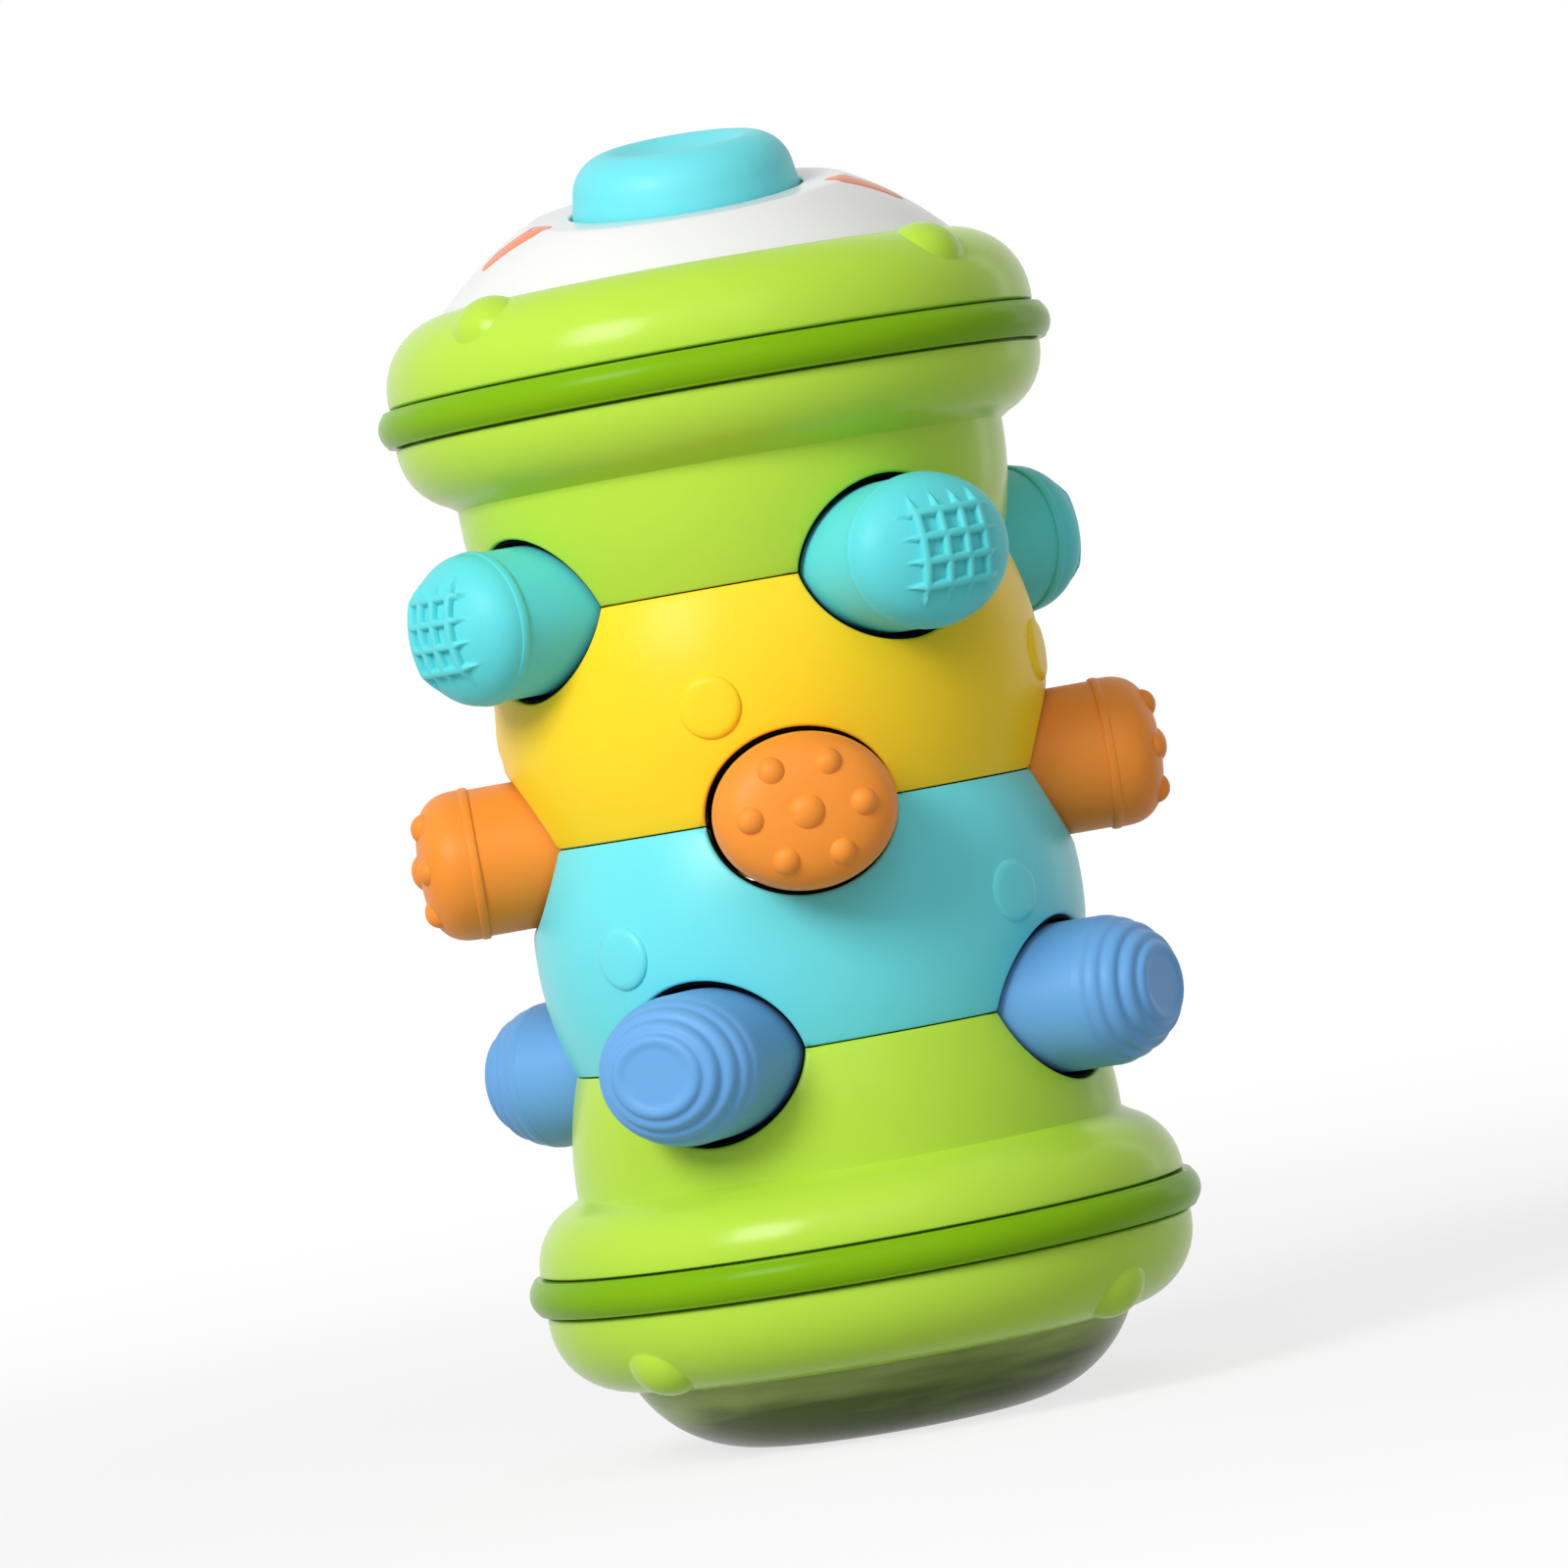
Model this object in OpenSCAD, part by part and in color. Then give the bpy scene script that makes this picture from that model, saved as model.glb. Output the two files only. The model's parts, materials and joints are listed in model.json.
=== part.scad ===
// Push-peg roller toy. Four stacked shells stand between two round end flanges.
// Three rows of soft-tipped pegs slide through the body in pairs: push one in and the
// opposite one comes out. A sprung button sits on a white dome that leans to the front.
// Millimetres, +Z up, origin at the centre of the base, front towards -Y.

/* [Body] */
// Distance between neighbouring rows of pegs
row_pitch = 34.9; // [33:0.1:40]
// Outer radius of the shells at their seams
seam_r = 39.1; // [38:0.1:41]
// How far a shell swells out between its seams
shell_swell = 3.1; // [2:0.1:4]
// Wall thickness of shells, covers and domes
wall = 2.2; // [1.8:0.1:2.6]
// Height of a neck from its seam to the crease under its flange
neck_h = 18.9; // [17:0.1:24]
// Turn of each row of pegs against the row above, in degrees
row_turn = 30; // [20:1:40]
// Radius of the raised dots on the two middle shells
dot_r = 4.8; // [3:0.1:6]
// How far the raised dots stand proud
dot_proud = 0.6; // [0.3:0.1:1]

/* [End flanges] */
// Outer radius of the covers and of the flanges on the necks
flange_r = 49.9; // [48.5:0.1:53]
// Straight wall of a cover, from the band's middle plane
cover_straight = 4.6; // [4:0.1:7]
// Shoulder radius of a cover
cover_round = 11.5; // [10:0.1:12.5]
// Straight wall of a neck's flange, from the band's middle plane
under_straight = 3.4; // [3.2:0.1:5]
// Radius under a neck's flange
under_round = 10.3; // [9:0.1:11]
// Height of the dark rim band
band_h = 6.2; // [5:0.1:6.2]
// How far the rim band stands out of the flange
band_proud = 2.2; // [1.5:0.1:2.6]
// Section radius of the rim band's bead
band_bead = 3.5; // [3.2:0.1:4.5]
// Thickness of the deck that closes a neck
deck_t = 2.4; // [2:0.1:3.5]
// Radius of the small bumps on a cover's shoulder
bump_r = 3.3; // [2.6:0.1:4]
// How far the bumps stand out of the shoulder
bump_proud = 1.8; // [1:0.1:2.2]

/* [Pegs] */
// Width of a peg, along the seam
peg_w = 27.2; // [25:0.1:28]
// Height of a peg, across the seam
peg_h = 23.1; // [20:0.1:24]
// Open gap between a peg and the shells around it
peg_gap = 0.9; // [0.7:0.05:1.2]
// Running clearance of a peg in its guide
guide_gap = 0.35; // [0.3:0.05:0.5]
// Wall thickness of a peg guide
guide_t = 1.6; // [1.2:0.1:2]
// Wall thickness of a peg sleeve
sleeve_wall = 1.8; // [1.5:0.1:2.4]
// Distance from the axis to the start of the soft cap
cap_start = 48.3; // [47:0.1:50]
// Distance from the axis to the tip of the soft cap
cap_tip = 57.5; // [56:0.1:60]
// Depth of the plug that holds a cap in its sleeve
plug_h = 5; // [3:0.5:8]
// Width of the rails that join two opposite pegs
rail_w = 10; // [7:0.5:12]
// Height of one rail bar
rail_h = 4; // [3:0.5:5]

/* [Top dome and button] */
// Outer radius of the white dome's sphere
dome_r = 53.7; // [53:0.1:55.5]
// How far the sphere's centre lies below the upper band's middle plane
dome_drop = 20.3; // [19.5:0.1:22]
// Lean of the dome's flat top and of the button to the front, in degrees
dome_lean = 10; // [0:1:12]
// Height of the flat top over the sphere's centre
top_h = 48; // [47:0.1:49]
// Radius of the button
button_r = 17.5; // [15:0.1:18.5]
// Height of the button over the flat top
button_h = 9.5; // [8:0.1:11]
// Shoulder radius of the button
button_round = 6.5; // [5:0.1:7]
// Depth of the dish in the button
dish_h = 2.2; // [1:0.1:3]
// How far the button can be pressed in
button_travel = 2.5; // [1.5:0.1:3]
// Open gap around the button
button_gap = 0.5; // [0.3:0.1:0.8]
// Height of the squeaker's bellows
bellows_h = 20; // [16:0.5:22]
// Radius of the squeaker's bellows
bellows_r = 11; // [8:0.5:12]

/* [Base] */
// Height of the lower band's middle plane over the base
base_h = 27.9; // [26:0.1:32]
// Radius of the flat that the toy stands on
base_flat_r = 20; // [18:0.1:21]
// Section radius of the base dome's side
base_round = 20.5; // [19:0.1:21]

/* [Seam screws] */
// Outer radius of a screw post
post_r = 3.3; // [3:0.1:3.5]
// Radius of a screw's shank
screw_r = 1.5; // [1.2:0.1:1.6]
// Height of a post above its seam, which the screw's head sits on
post_up = 8; // [6:0.5:12]
// Depth of a post below its seam, which the screw bites into
post_down = 12; // [8:0.5:14]

/* [Hidden] */
$fn = 96;
eps = 0.01;
far = 200;
fit_gap = 0.15;
seat_gap = 0.3;
light_green = [0.68, 0.86, 0.24];
dark_green = [0.45, 0.68, 0.10];
yellow = [0.98, 0.84, 0.14];
cyan = [0.42, 0.90, 0.94];
teal = [0.36, 0.85, 0.88];
orange = [0.95, 0.56, 0.20];
blue = [0.43, 0.63, 0.87];
cream = [0.96, 0.96, 0.95];
coral = [0.95, 0.60, 0.45];
olive = [0.58, 0.66, 0.42];
black = [0.05, 0.05, 0.05];
grey = [0.65, 0.66, 0.68];

// The swelling side of a shell is one arc, whose chord is the row pitch
arc_r = (pow(row_pitch / 2, 2) + pow(shell_swell, 2)) / (2 * shell_swell);
arc_x = seam_r + shell_swell - arc_r;
seam_in_r = arc_x + sqrt(pow(arc_r - wall, 2) - pow(row_pitch / 2, 2));
function side_r(dz) = arc_x + sqrt(pow(arc_r, 2) - pow(dz, 2));

// The crease is where the round under the flange meets the neck
neck_r = side_r(neck_h - row_pitch / 2);
under_x = flange_r - under_round;
crease_h = under_straight + sqrt(pow(under_round, 2) - pow(neck_r - under_x, 2));

// Heights of the bands' middle planes and of the seams, rows counted from the top
ring_lo = base_h;
ring_hi = ring_lo + 2 * (crease_h + neck_h) + 2 * row_pitch;
body_mid = (ring_lo + ring_hi) / 2;
rows = ["teal", "orange", "blue"];
row_colours = [teal, orange, blue];
pegs_per_row = 4;
peg_step = 360 / pegs_per_row;
function row_z(row) = body_mid + (1 - row) * row_pitch;
function row_azimuth(row) = (1 - row) * row_turn;
function peg_azimuth(row, k) = row_azimuth(row) + k * peg_step;
function post_azimuth(row, k) = peg_azimuth(row, k) + peg_step / 2;

// A guide lies inside the seam. Its inner face stops the plates at the rails' ends,
// and the crossing pair leaves room for the other half of the stroke.
guide_r = seam_in_r - seat_gap;
guide_in_r = guide_r - guide_t;
stop_gap = 0.1;
cross_gap = 0.9;
stop_out = sqrt(pow(guide_in_r, 2) - pow(rail_w / 2, 2)) - stop_gap;
peg_travel = (stop_out - peg_w / 2 - cross_gap) / 2;
peg_start = stop_out - peg_travel;
plate_t = 2.7;
plate_lip = 2.4;
plate_half = peg_h / 2 + plate_lip;
guide_lip = 1.5;
guide_half = plate_half + guide_lip;
floor_t = 2;
stud_r = 2;
stud_clear = 0.05;
stud_offset = 7;
rail_clear = 1.5;
rail_low = rail_h / 2 + rail_clear;

// Screw posts stand just inside the guides, on ribs that run through slots in them
post_clear = 0.4;
post_x = guide_in_r - post_r - post_clear;
rib_t = 2.4;
rib_start = 3;
rib_clear = 0.3;
screw_clear = 0.05;
head_r = 2.8;
head_h = 2;
screw_floor = 3;
screw_tip = post_down - screw_floor;

// Spigot on a neck, band around it, and lip of the cover over it
lip_h = 3;
spigot_t = 2;
lip_t = 1.3;
spigot_r = flange_r - wall - lip_t;
spigot_in_r = spigot_r - spigot_t;
band_in_r = spigot_r + fit_gap;
deck_top = ring_hi - band_h / 2;
deck_low = ring_lo + band_h / 2;
cover_h = cover_straight + cover_round;
bump_tilts = [44, 66];
bump_reach = cover_round - bump_r + bump_proud;

// White dome, its leaning frame, and the pieces stacked under the button
dome_z = ring_hi - dome_drop;
skirt_r = spigot_in_r - seat_gap;
dome_clear = 0.3;
press_gap = 0.1;
collar_t = 2;
collar_lip = 2.2;
collar_r = button_r + collar_lip;
collar_top = top_h - wall - press_gap;
button_roof = 3;
cavity_clear = 1;
cavity_r = bellows_r + cavity_clear;
cavity_top = top_h + button_h - dish_h - button_roof;
bellows_base = cavity_top - press_gap - bellows_h;
bellows_wall = 1;
bellows_folds = 4;
bellows_dip = 2.4;
reed_t = 3;
reed_hole_r = 3;
stop_clear = 0.8;
stop_t = 1.8;
stop_in_r = bellows_r + stop_clear;
stop_r = stop_in_r + stop_t;
stop_top = collar_top - collar_t - press_gap - button_travel;
pedestal_top = bellows_base - reed_t;
pedestal_sink = 3.5;
pedestal_low = (deck_top - dome_z) / cos(dome_lean) - pedestal_sink;
mark_t = 0.8;
mark_proud = 0.15;
mark_r = 2;
mark_in = [23.2, -6.4];
mark_out = [32.5, -1.4];
function on_dome(p) = [p.x, p.y, sqrt(pow(dome_r, 2) - p * p)] / dome_r;

// Textures on the soft caps
weave_lines = 4;
weave_pitch = 3.5;
weave_t = 1.1;
weave_proud = 0.9;
nub_count = 6;
nub_ring = 8;
nub_r = 2.3;
nub_mid_r = 3.5;
nub_proud = 1.2;
oval_sides = 40;
round_power = 2;
flat_power = 2.8;
crown_step = 12;
crown_slice = 0.02;
step_sizes = [1, 0.985, 0.95, 0.9, 0.82, 0.56];
step_heights = [0.22, 0.42, 0.6, 0.76, 0.9, 1];

function names(stem) = [for (row = rows) for (k = [1:pegs_per_row]) str(row, stem, k)];
function rail_names(stem) = [for (row = rows) str(row, stem)];

// Places a piece along a peg's axis: x along the seam, y up, z out from the body's axis
module at_peg(row, k) {
    translate([0, 0, row_z(row)]) rotate([90, 0, peg_azimuth(row, k)]) children();
}

// Places a piece at a screw post of a seam, with z = 0 on the seam
module at_post(row, k) {
    translate([0, 0, row_z(row)]) rotate([0, 0, post_azimuth(row, k) - 90])
        translate([post_x, 0, 0]) children();
}

// Leaning frame of the dome's flat top, with its origin at the sphere's centre
module leaning() {
    translate([0, 0, dome_z]) rotate([dome_lean, 0, 0]) children();
}

// Oval outline of a peg
module oval(w, h) {
    turn = 360 / oval_sides;
    polygon([for (i = [0:oval_sides - 1]) [w / 2 * cos(i * turn), h / 2 * sin(i * turn)]]);
}

// Straight oval bar from z0 to z1
module oval_bar(w, h, z0, z1) {
    translate([0, 0, z0]) linear_extrude(z1 - z0) oval(w, h);
}

// Swelling side of a shell between two heights, about the arc's middle height
module side_profile(mid, z0, z1, inset) {
    intersection() {
        translate([arc_x, mid]) circle(arc_r - inset, $fn = 180);
        translate([0, z0]) square([far, z1 - z0]);
    }
}

// Holes for one row of pegs
module row_holes(row) {
    for (k = [0:pegs_per_row - 1]) at_peg(row, k)
        oval_bar(peg_w + 2 * peg_gap, peg_h + 2 * peg_gap, peg_start, far / 2);
}

// Post above a seam: the screw passes through it and its head sits on top
module upper_posts(row) {
    for (k = [0:pegs_per_row - 1]) at_post(row, k) difference() {
        union() {
            cylinder(r = post_r, h = post_up);
            translate([0, -rib_t / 2, rib_start])
                cube([side_r(row_pitch / 2 - rib_start) - wall / 2 - post_x, rib_t, post_up - rib_start]);
        }
        translate([0, 0, -eps]) cylinder(r = screw_r + fit_gap, h = post_up + 2 * eps);
    }
}

// Post below a seam: the screw bites into it
module lower_posts(row) {
    for (k = [0:pegs_per_row - 1]) at_post(row, k) difference() {
        union() {
            translate([0, 0, -post_down]) cylinder(r = post_r, h = post_down);
            translate([0, -rib_t / 2, -post_down])
                cube([side_r(row_pitch / 2 - rib_start) - wall / 2 - post_x, rib_t, post_down - rib_start]);
        }
        translate([0, 0, -screw_tip]) cylinder(r = screw_r + screw_clear, h = screw_tip + eps);
    }
}

// Middle shell between two rows, with its dots
module middle_shell(upper_row, colour) {
    lower_row = upper_row + 1;
    mid = (row_z(upper_row) + row_z(lower_row)) / 2;
    color(colour) {
        difference() {
            union() {
                rotate_extrude($fn = 180) side_profile(mid, row_z(lower_row), row_z(upper_row), 0);
                for (k = [0:pegs_per_row - 1])
                    translate([0, 0, mid]) rotate([90, 0, post_azimuth(upper_row, k) - peg_step])
                        translate([0, 0, seam_r]) cylinder(r = dot_r, h = shell_swell + dot_proud);
            }
            rotate_extrude($fn = 180)
                side_profile(mid, row_z(lower_row) - 1, row_z(upper_row) + 1, wall);
            row_holes(upper_row);
            row_holes(lower_row);
        }
        lower_posts(upper_row);
        upper_posts(lower_row);
    }
}

// Outer or inner outline of a neck with its flange, band's middle plane at z = 0
module neck_profile(inset, top) {
    seam = -(crease_h + neck_h);
    side_profile(seam + row_pitch / 2, seam - inset, top, inset);
    intersection() {
        union() {
            translate([under_x, -under_straight]) circle(under_round - inset);
            translate([0, -under_straight]) square([flange_r - inset, under_straight]);
        }
        translate([0, -crease_h - under_round]) square([far, top + crease_h + under_round]);
    }
    translate([0, -under_straight - under_round + inset])
        square([under_x, top + under_straight + under_round - inset]);
}

// Neck with flange, deck and spigot, made for the upper end
module neck() {
    deck = -band_h / 2;
    rotate_extrude($fn = 180) difference() {
        neck_profile(0, deck);
        neck_profile(wall, deck - deck_t);
    }
    translate([0, 0, deck - eps]) difference() {
        cylinder(r = spigot_r, h = band_h + lip_h + eps);
        translate([0, 0, -eps]) cylinder(r = spigot_in_r, h = band_h + lip_h + 3 * eps);
    }
}

// Dark rim band with a round bead, clamped between a cover and a neck
module band() {
    color(dark_green) rotate_extrude($fn = 180) {
        translate([band_in_r, -band_h / 2]) square([flange_r + band_proud - band_bead - band_in_r, band_h]);
        intersection() {
            translate([flange_r + band_proud - band_bead, 0]) circle(band_bead);
            translate([band_in_r, -band_h / 2]) square([far, band_h]);
        }
    }
}

// Outline of a cover, band's middle plane at z = 0
module cover_profile(inset) {
    translate([flange_r - cover_round, cover_straight]) circle(cover_round - inset);
    square([flange_r - inset, cover_straight]);
    square([flange_r - cover_round, cover_h - inset]);
}

// Centre of a bump's ball on the shoulder: x along the rim, y up, z out from the axis
function bump_at(tilt) = [
    0,
    cover_straight + bump_reach * sin(tilt),
    flange_r - cover_round + bump_reach * cos(tilt)
];

// Small long bump that follows a cover's shoulder
module bump() {
    for (tilt = bump_tilts) translate(bump_at(tilt)) sphere(bump_r);
    translate([0, cover_straight, flange_r - cover_round]) rotate([0, -90, 0]) rotate(bump_tilts[0])
        rotate_extrude(angle = bump_tilts[1] - bump_tilts[0]) translate([bump_reach, 0]) circle(bump_r);
}

// End cover with four bumps on its shoulder and a thick lip around the spigot
module cover() {
    difference() {
        union() {
            rotate_extrude($fn = 180) cover_profile(0);
            for (k = [0:pegs_per_row - 1]) rotate([90, 0, (k + 0.5) * peg_step]) bump();
        }
        rotate_extrude($fn = 180) cover_profile(wall);
        translate([0, 0, band_h / 2 - far]) cylinder(r = far, h = far);
    }
    translate([0, 0, band_h / 2]) difference() {
        cylinder(r = flange_r - wall / 2, h = lip_h);
        translate([0, 0, -eps]) cylinder(r = spigot_r + fit_gap, h = lip_h + 2 * eps);
    }
}

// Outline of the bowl-shaped base dome, grown or shrunk by an inset, inside the neck's spigot
module base_profile(inset, top) {
    rim_r = min(base_flat_r + base_round, skirt_r) - inset;
    translate([0, inset]) square([base_flat_r, top - inset]);
    intersection() {
        translate([base_flat_r, base_round]) circle(base_round - inset, $fn = 180);
        translate([0, inset]) square([rim_r, base_round]);
    }
    translate([0, base_round]) square([rim_r, top - base_round]);
}

// Everything under the dome's flat top, lowered by an inset
module below_top(inset) {
    leaning() translate([0, 0, top_h - inset - far]) cylinder(r = far, h = far);
}

// Solid of the white dome, or of the space inside it
module dome_solid(inset) {
    intersection() {
        translate([0, 0, dome_z]) sphere(dome_r - inset, $fn = 180);
        translate([0, 0, deck_top - inset / 2]) cylinder(r = skirt_r - inset, h = far);
        below_top(inset);
    }
}

// Band of the dome's skin along a great circle, on one side of the button
module mark(side, gap, proud) {
    start = on_dome(mark_in);
    across = cross(start, on_dome(mark_out)) / norm(cross(start, on_dome(mark_out)));
    along = cross(across, start);
    sweep = acos(start * on_dome(mark_out));
    spare = gap / dome_r * 180 / PI;
    leaning() mirror([side < 0 ? 1 : 0, 0, 0])
        multmatrix([for (i = [0:2]) [start[i], along[i], across[i], 0]])
            rotate(-spare) rotate_extrude(angle = sweep + 2 * spare, $fn = 360) intersection() {
                difference() {
                    circle(dome_r + proud, $fn = 360);
                    circle(dome_r - mark_t - gap, $fn = 360);
                }
                translate([0, -mark_r - gap]) square([far, 2 * (mark_r + gap)]);
            }
}

module base_dome() {
    color(olive) rotate_extrude($fn = 180) difference() {
        base_profile(0, deck_low);
        base_profile(wall, deck_low + 1);
    }
}

module bottom_cover() {
    color(light_green) difference() {
        translate([0, 0, ring_lo]) mirror([0, 0, 1]) cover();
        rotate_extrude($fn = 180) base_profile(-dome_clear, deck_low);
    }
}

module bottom_band() {
    translate([0, 0, ring_lo]) band();
}

module lower_neck() {
    row = len(rows) - 1;
    color(light_green) {
        difference() {
            translate([0, 0, ring_lo]) mirror([0, 0, 1]) neck();
            row_holes(row);
        }
        lower_posts(row);
    }
}

module cyan_shell() middle_shell(1, cyan);

module yellow_shell() middle_shell(0, yellow);

// The upper neck also carries the squeaker in a tube that stops the button,
// and its deck lets a screwdriver through
module upper_neck() {
    color(light_green) {
        difference() {
            union() {
                translate([0, 0, ring_hi]) neck();
                leaning() translate([0, 0, pedestal_low]) cylinder(r = stop_r, h = stop_top - pedestal_low);
            }
            leaning() {
                translate([0, 0, pedestal_top]) cylinder(r = stop_in_r, h = far);
                translate([0, 0, pedestal_low - 1])
                    cylinder(r = stop_in_r, h = pedestal_top - wall - pedestal_low + 1);
            }
            row_holes(0);
            for (k = [0:pegs_per_row - 1]) at_post(0, k) cylinder(r = head_r + 1, h = far / 2);
        }
        upper_posts(0);
    }
}

module top_band() {
    translate([0, 0, ring_hi]) band();
}

module top_cover() {
    color(light_green) difference() {
        translate([0, 0, ring_hi]) cover();
        intersection() {
            translate([0, 0, dome_z]) sphere(dome_r + dome_clear, $fn = 180);
            translate([0, 0, ring_hi]) cylinder(r = skirt_r + dome_clear, h = far);
        }
    }
}

module top_dome() {
    color(cream) difference() {
        dome_solid(0);
        dome_solid(wall);
        leaning() cylinder(r = button_r + button_gap, h = far);
        for (side = [-1, 1]) mark(side, screw_clear, 1);
    }
}

module dome_marks() {
    color(coral) for (side = [-1, 1]) mark(side, 0, mark_proud);
}

// Hollow button with a round shoulder, a dished top and a collar under the dome's flat top
module button() {
    tall = top_h + button_h;
    dish_r = (pow(button_r - button_round, 2) + pow(dish_h, 2)) / (2 * dish_h);
    color(teal) leaning() difference() {
        rotate_extrude() {
            translate([0, collar_top - collar_t]) square([collar_r, collar_t]);
            translate([0, collar_top - collar_t])
                square([button_r, tall - button_round - collar_top + collar_t]);
            translate([0, top_h]) square([button_r - button_round, button_h]);
            translate([button_r - button_round, tall - button_round]) circle(button_round);
        }
        translate([0, 0, tall - dish_h + dish_r]) sphere(dish_r);
        cylinder(r = cavity_r, h = cavity_top);
    }
}

// Folded rubber bellows that squeaks and lifts the button again
module squeaker_bellows() {
    fold = bellows_h / bellows_folds;
    color(cream) leaning() translate([0, 0, bellows_base]) rotate_extrude() difference() {
        bellows_profile(fold);
        translate([0, bellows_wall])
            square([bellows_r - bellows_dip - bellows_wall, bellows_h - 2 * bellows_wall]);
        translate([0, -1]) square([reed_hole_r, bellows_wall + 2]);
    }
}

module bellows_profile(fold) {
    square([bellows_r - bellows_dip, bellows_h]);
    for (i = [0:bellows_folds - 1]) translate([bellows_r - bellows_dip, i * fold])
        polygon([[-eps, 0], [bellows_dip, fold / 2], [-eps, fold]]);
}

// Whistle plug under the bellows, on the upper neck's pedestal
module squeaker_reed() {
    color(grey) leaning() translate([0, 0, pedestal_top]) difference() {
        cylinder(r = bellows_r, h = reed_t);
        translate([0, 0, -eps]) cylinder(r = reed_hole_r, h = reed_t + 2 * eps);
    }
}

// Four screws that clamp the two shells of a seam
module seam_screws(row) {
    color(grey) for (k = [0:pegs_per_row - 1]) at_post(row, k) {
        translate([0, 0, screw_clear - screw_tip]) cylinder(r = screw_r, h = screw_tip + post_up);
        translate([0, 0, post_up]) cylinder(r = head_r, h = head_h);
    }
}

// Black ring behind a seam that the pegs of one row run in
module peg_guide(row) {
    color(black) difference() {
        translate([0, 0, row_z(row) - guide_half]) difference() {
            cylinder(r = guide_r, h = 2 * guide_half, $fn = 180);
            translate([0, 0, -1]) cylinder(r = guide_in_r, h = 2 * guide_half + 2, $fn = 180);
        }
        for (k = [0:pegs_per_row - 1]) {
            at_peg(row, k)
                oval_bar(peg_w + 2 * guide_gap, peg_h + 2 * guide_gap, peg_start, far / 2);
            for (side = [0, 1]) at_post(row, k) mirror([0, 0, side])
                translate([0, -rib_t / 2 - rib_clear, rib_start - rib_clear])
                    cube([far / 2, rib_t + 2 * rib_clear, guide_half]);
        }
    }
}

// Oval sleeve of a peg, closed at its inner end, with holes for the rails' studs
module peg(row, k) {
    studs = k % 2 == 0 ? [-stud_offset, stud_offset] : [0];
    color(row_colours[row]) at_peg(row, k) difference() {
        oval_bar(peg_w, peg_h, peg_start, cap_start);
        oval_bar(peg_w - 2 * sleeve_wall, peg_h - 2 * sleeve_wall, peg_start + floor_t, cap_start + 1);
        for (y = studs) translate([0, y, peg_start - 1]) cylinder(r = stud_r + stud_clear, h = floor_t + 2);
    }
}

// Plug that holds a soft cap in its sleeve
module cap_plug() {
    play = 2 * (sleeve_wall + screw_clear);
    oval_bar(peg_w - play, peg_h - play, cap_start - plug_h, cap_start + eps);
}

// Rounded oval end from the start of a cap to its tip, fuller with a higher power
module crown(power, grow) {
    rise = cap_tip - cap_start + grow;
    hull() for (t = [0:crown_step:90 - crown_step / 2])
        translate([0, 0, cap_start + rise * pow(sin(t), 2 / power)])
            linear_extrude(crown_slice) oval(
                (peg_w + 2 * grow) * pow(cos(t), 2 / power),
                (peg_h + 2 * grow) * pow(cos(t), 2 / power)
            );
}

// Full round end with a raised woven grid
module woven_cap() {
    crown(round_power, 0);
    intersection() {
        crown(round_power, weave_proud);
        translate([0, 0, cap_start]) linear_extrude(far) for (turn = [0, 90]) rotate(turn)
            for (i = [0:weave_lines - 1])
                translate([(i - (weave_lines - 1) / 2) * weave_pitch, 0])
                    square([weave_t, weave_lines * weave_pitch], center = true);
    }
}

// Flatter end with a ring of nubs around a larger one
module nubbed_cap() {
    crown(flat_power, 0);
    translate([0, 0, cap_tip - nub_mid_r + nub_proud]) sphere(nub_mid_r);
    for (i = [0:nub_count - 1]) nub(nub_ring * [cos(i * 360 / nub_count), sin(i * 360 / nub_count)]);
}

// Small nub on the flatter end
module nub(at) {
    off = norm([at.x / peg_w, at.y / peg_h]) * 2;
    height = cap_start + (cap_tip - cap_start) * pow(1 - pow(off, flat_power), 1 / flat_power);
    translate([at.x, at.y, height - nub_r + nub_proud]) sphere(nub_r);
}

// Stack of smaller and smaller oval steps
module stepped_cap() {
    rise = cap_tip - cap_start;
    for (i = [0:len(step_sizes) - 1])
        oval_bar(
            peg_w * step_sizes[i], peg_h * step_sizes[i],
            cap_start, cap_start + rise * step_heights[i]
        );
}

module cap(row, k) {
    color(row_colours[row]) at_peg(row, k) {
        cap_plug();
        if (row == 0) woven_cap();
        if (row == 1) nubbed_cap();
        if (row == 2) stepped_cap();
    }
}

// Stop plates at both ends of a rail, with the studs that hold the pegs
module rail_ends(low, high, stud_y) {
    for (turn = [0, 180]) rotate([0, turn, 0]) {
        translate([-rail_w / 2, low, peg_start - plate_t]) cube([rail_w, high - low, plate_t]);
        translate([0, stud_y, peg_start - eps]) cylinder(r = stud_r, h = floor_t + eps);
    }
}

// One of the two rails of the first pair, over or under the crossing rail
module split_rail(row, side) {
    color(row_colours[row]) at_peg(row, 0) mirror([0, side < 0 ? 1 : 0, 0]) {
        rail_ends(fit_gap, plate_half, stud_offset);
        translate([-rail_w / 2, rail_low, -peg_start + plate_t / 2])
            cube([rail_w, rail_h, 2 * peg_start - plate_t]);
    }
}

// Rail of the second pair, which runs between the two rails of the first
module cross_rail(row) {
    color(row_colours[row]) at_peg(row, 1) {
        rail_ends(-plate_half, plate_half, 0);
        translate([-rail_w / 2, -rail_h / 2, -peg_start + plate_t / 2])
            cube([rail_w, rail_h, 2 * peg_start - plate_t]);
    }
}

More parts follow.
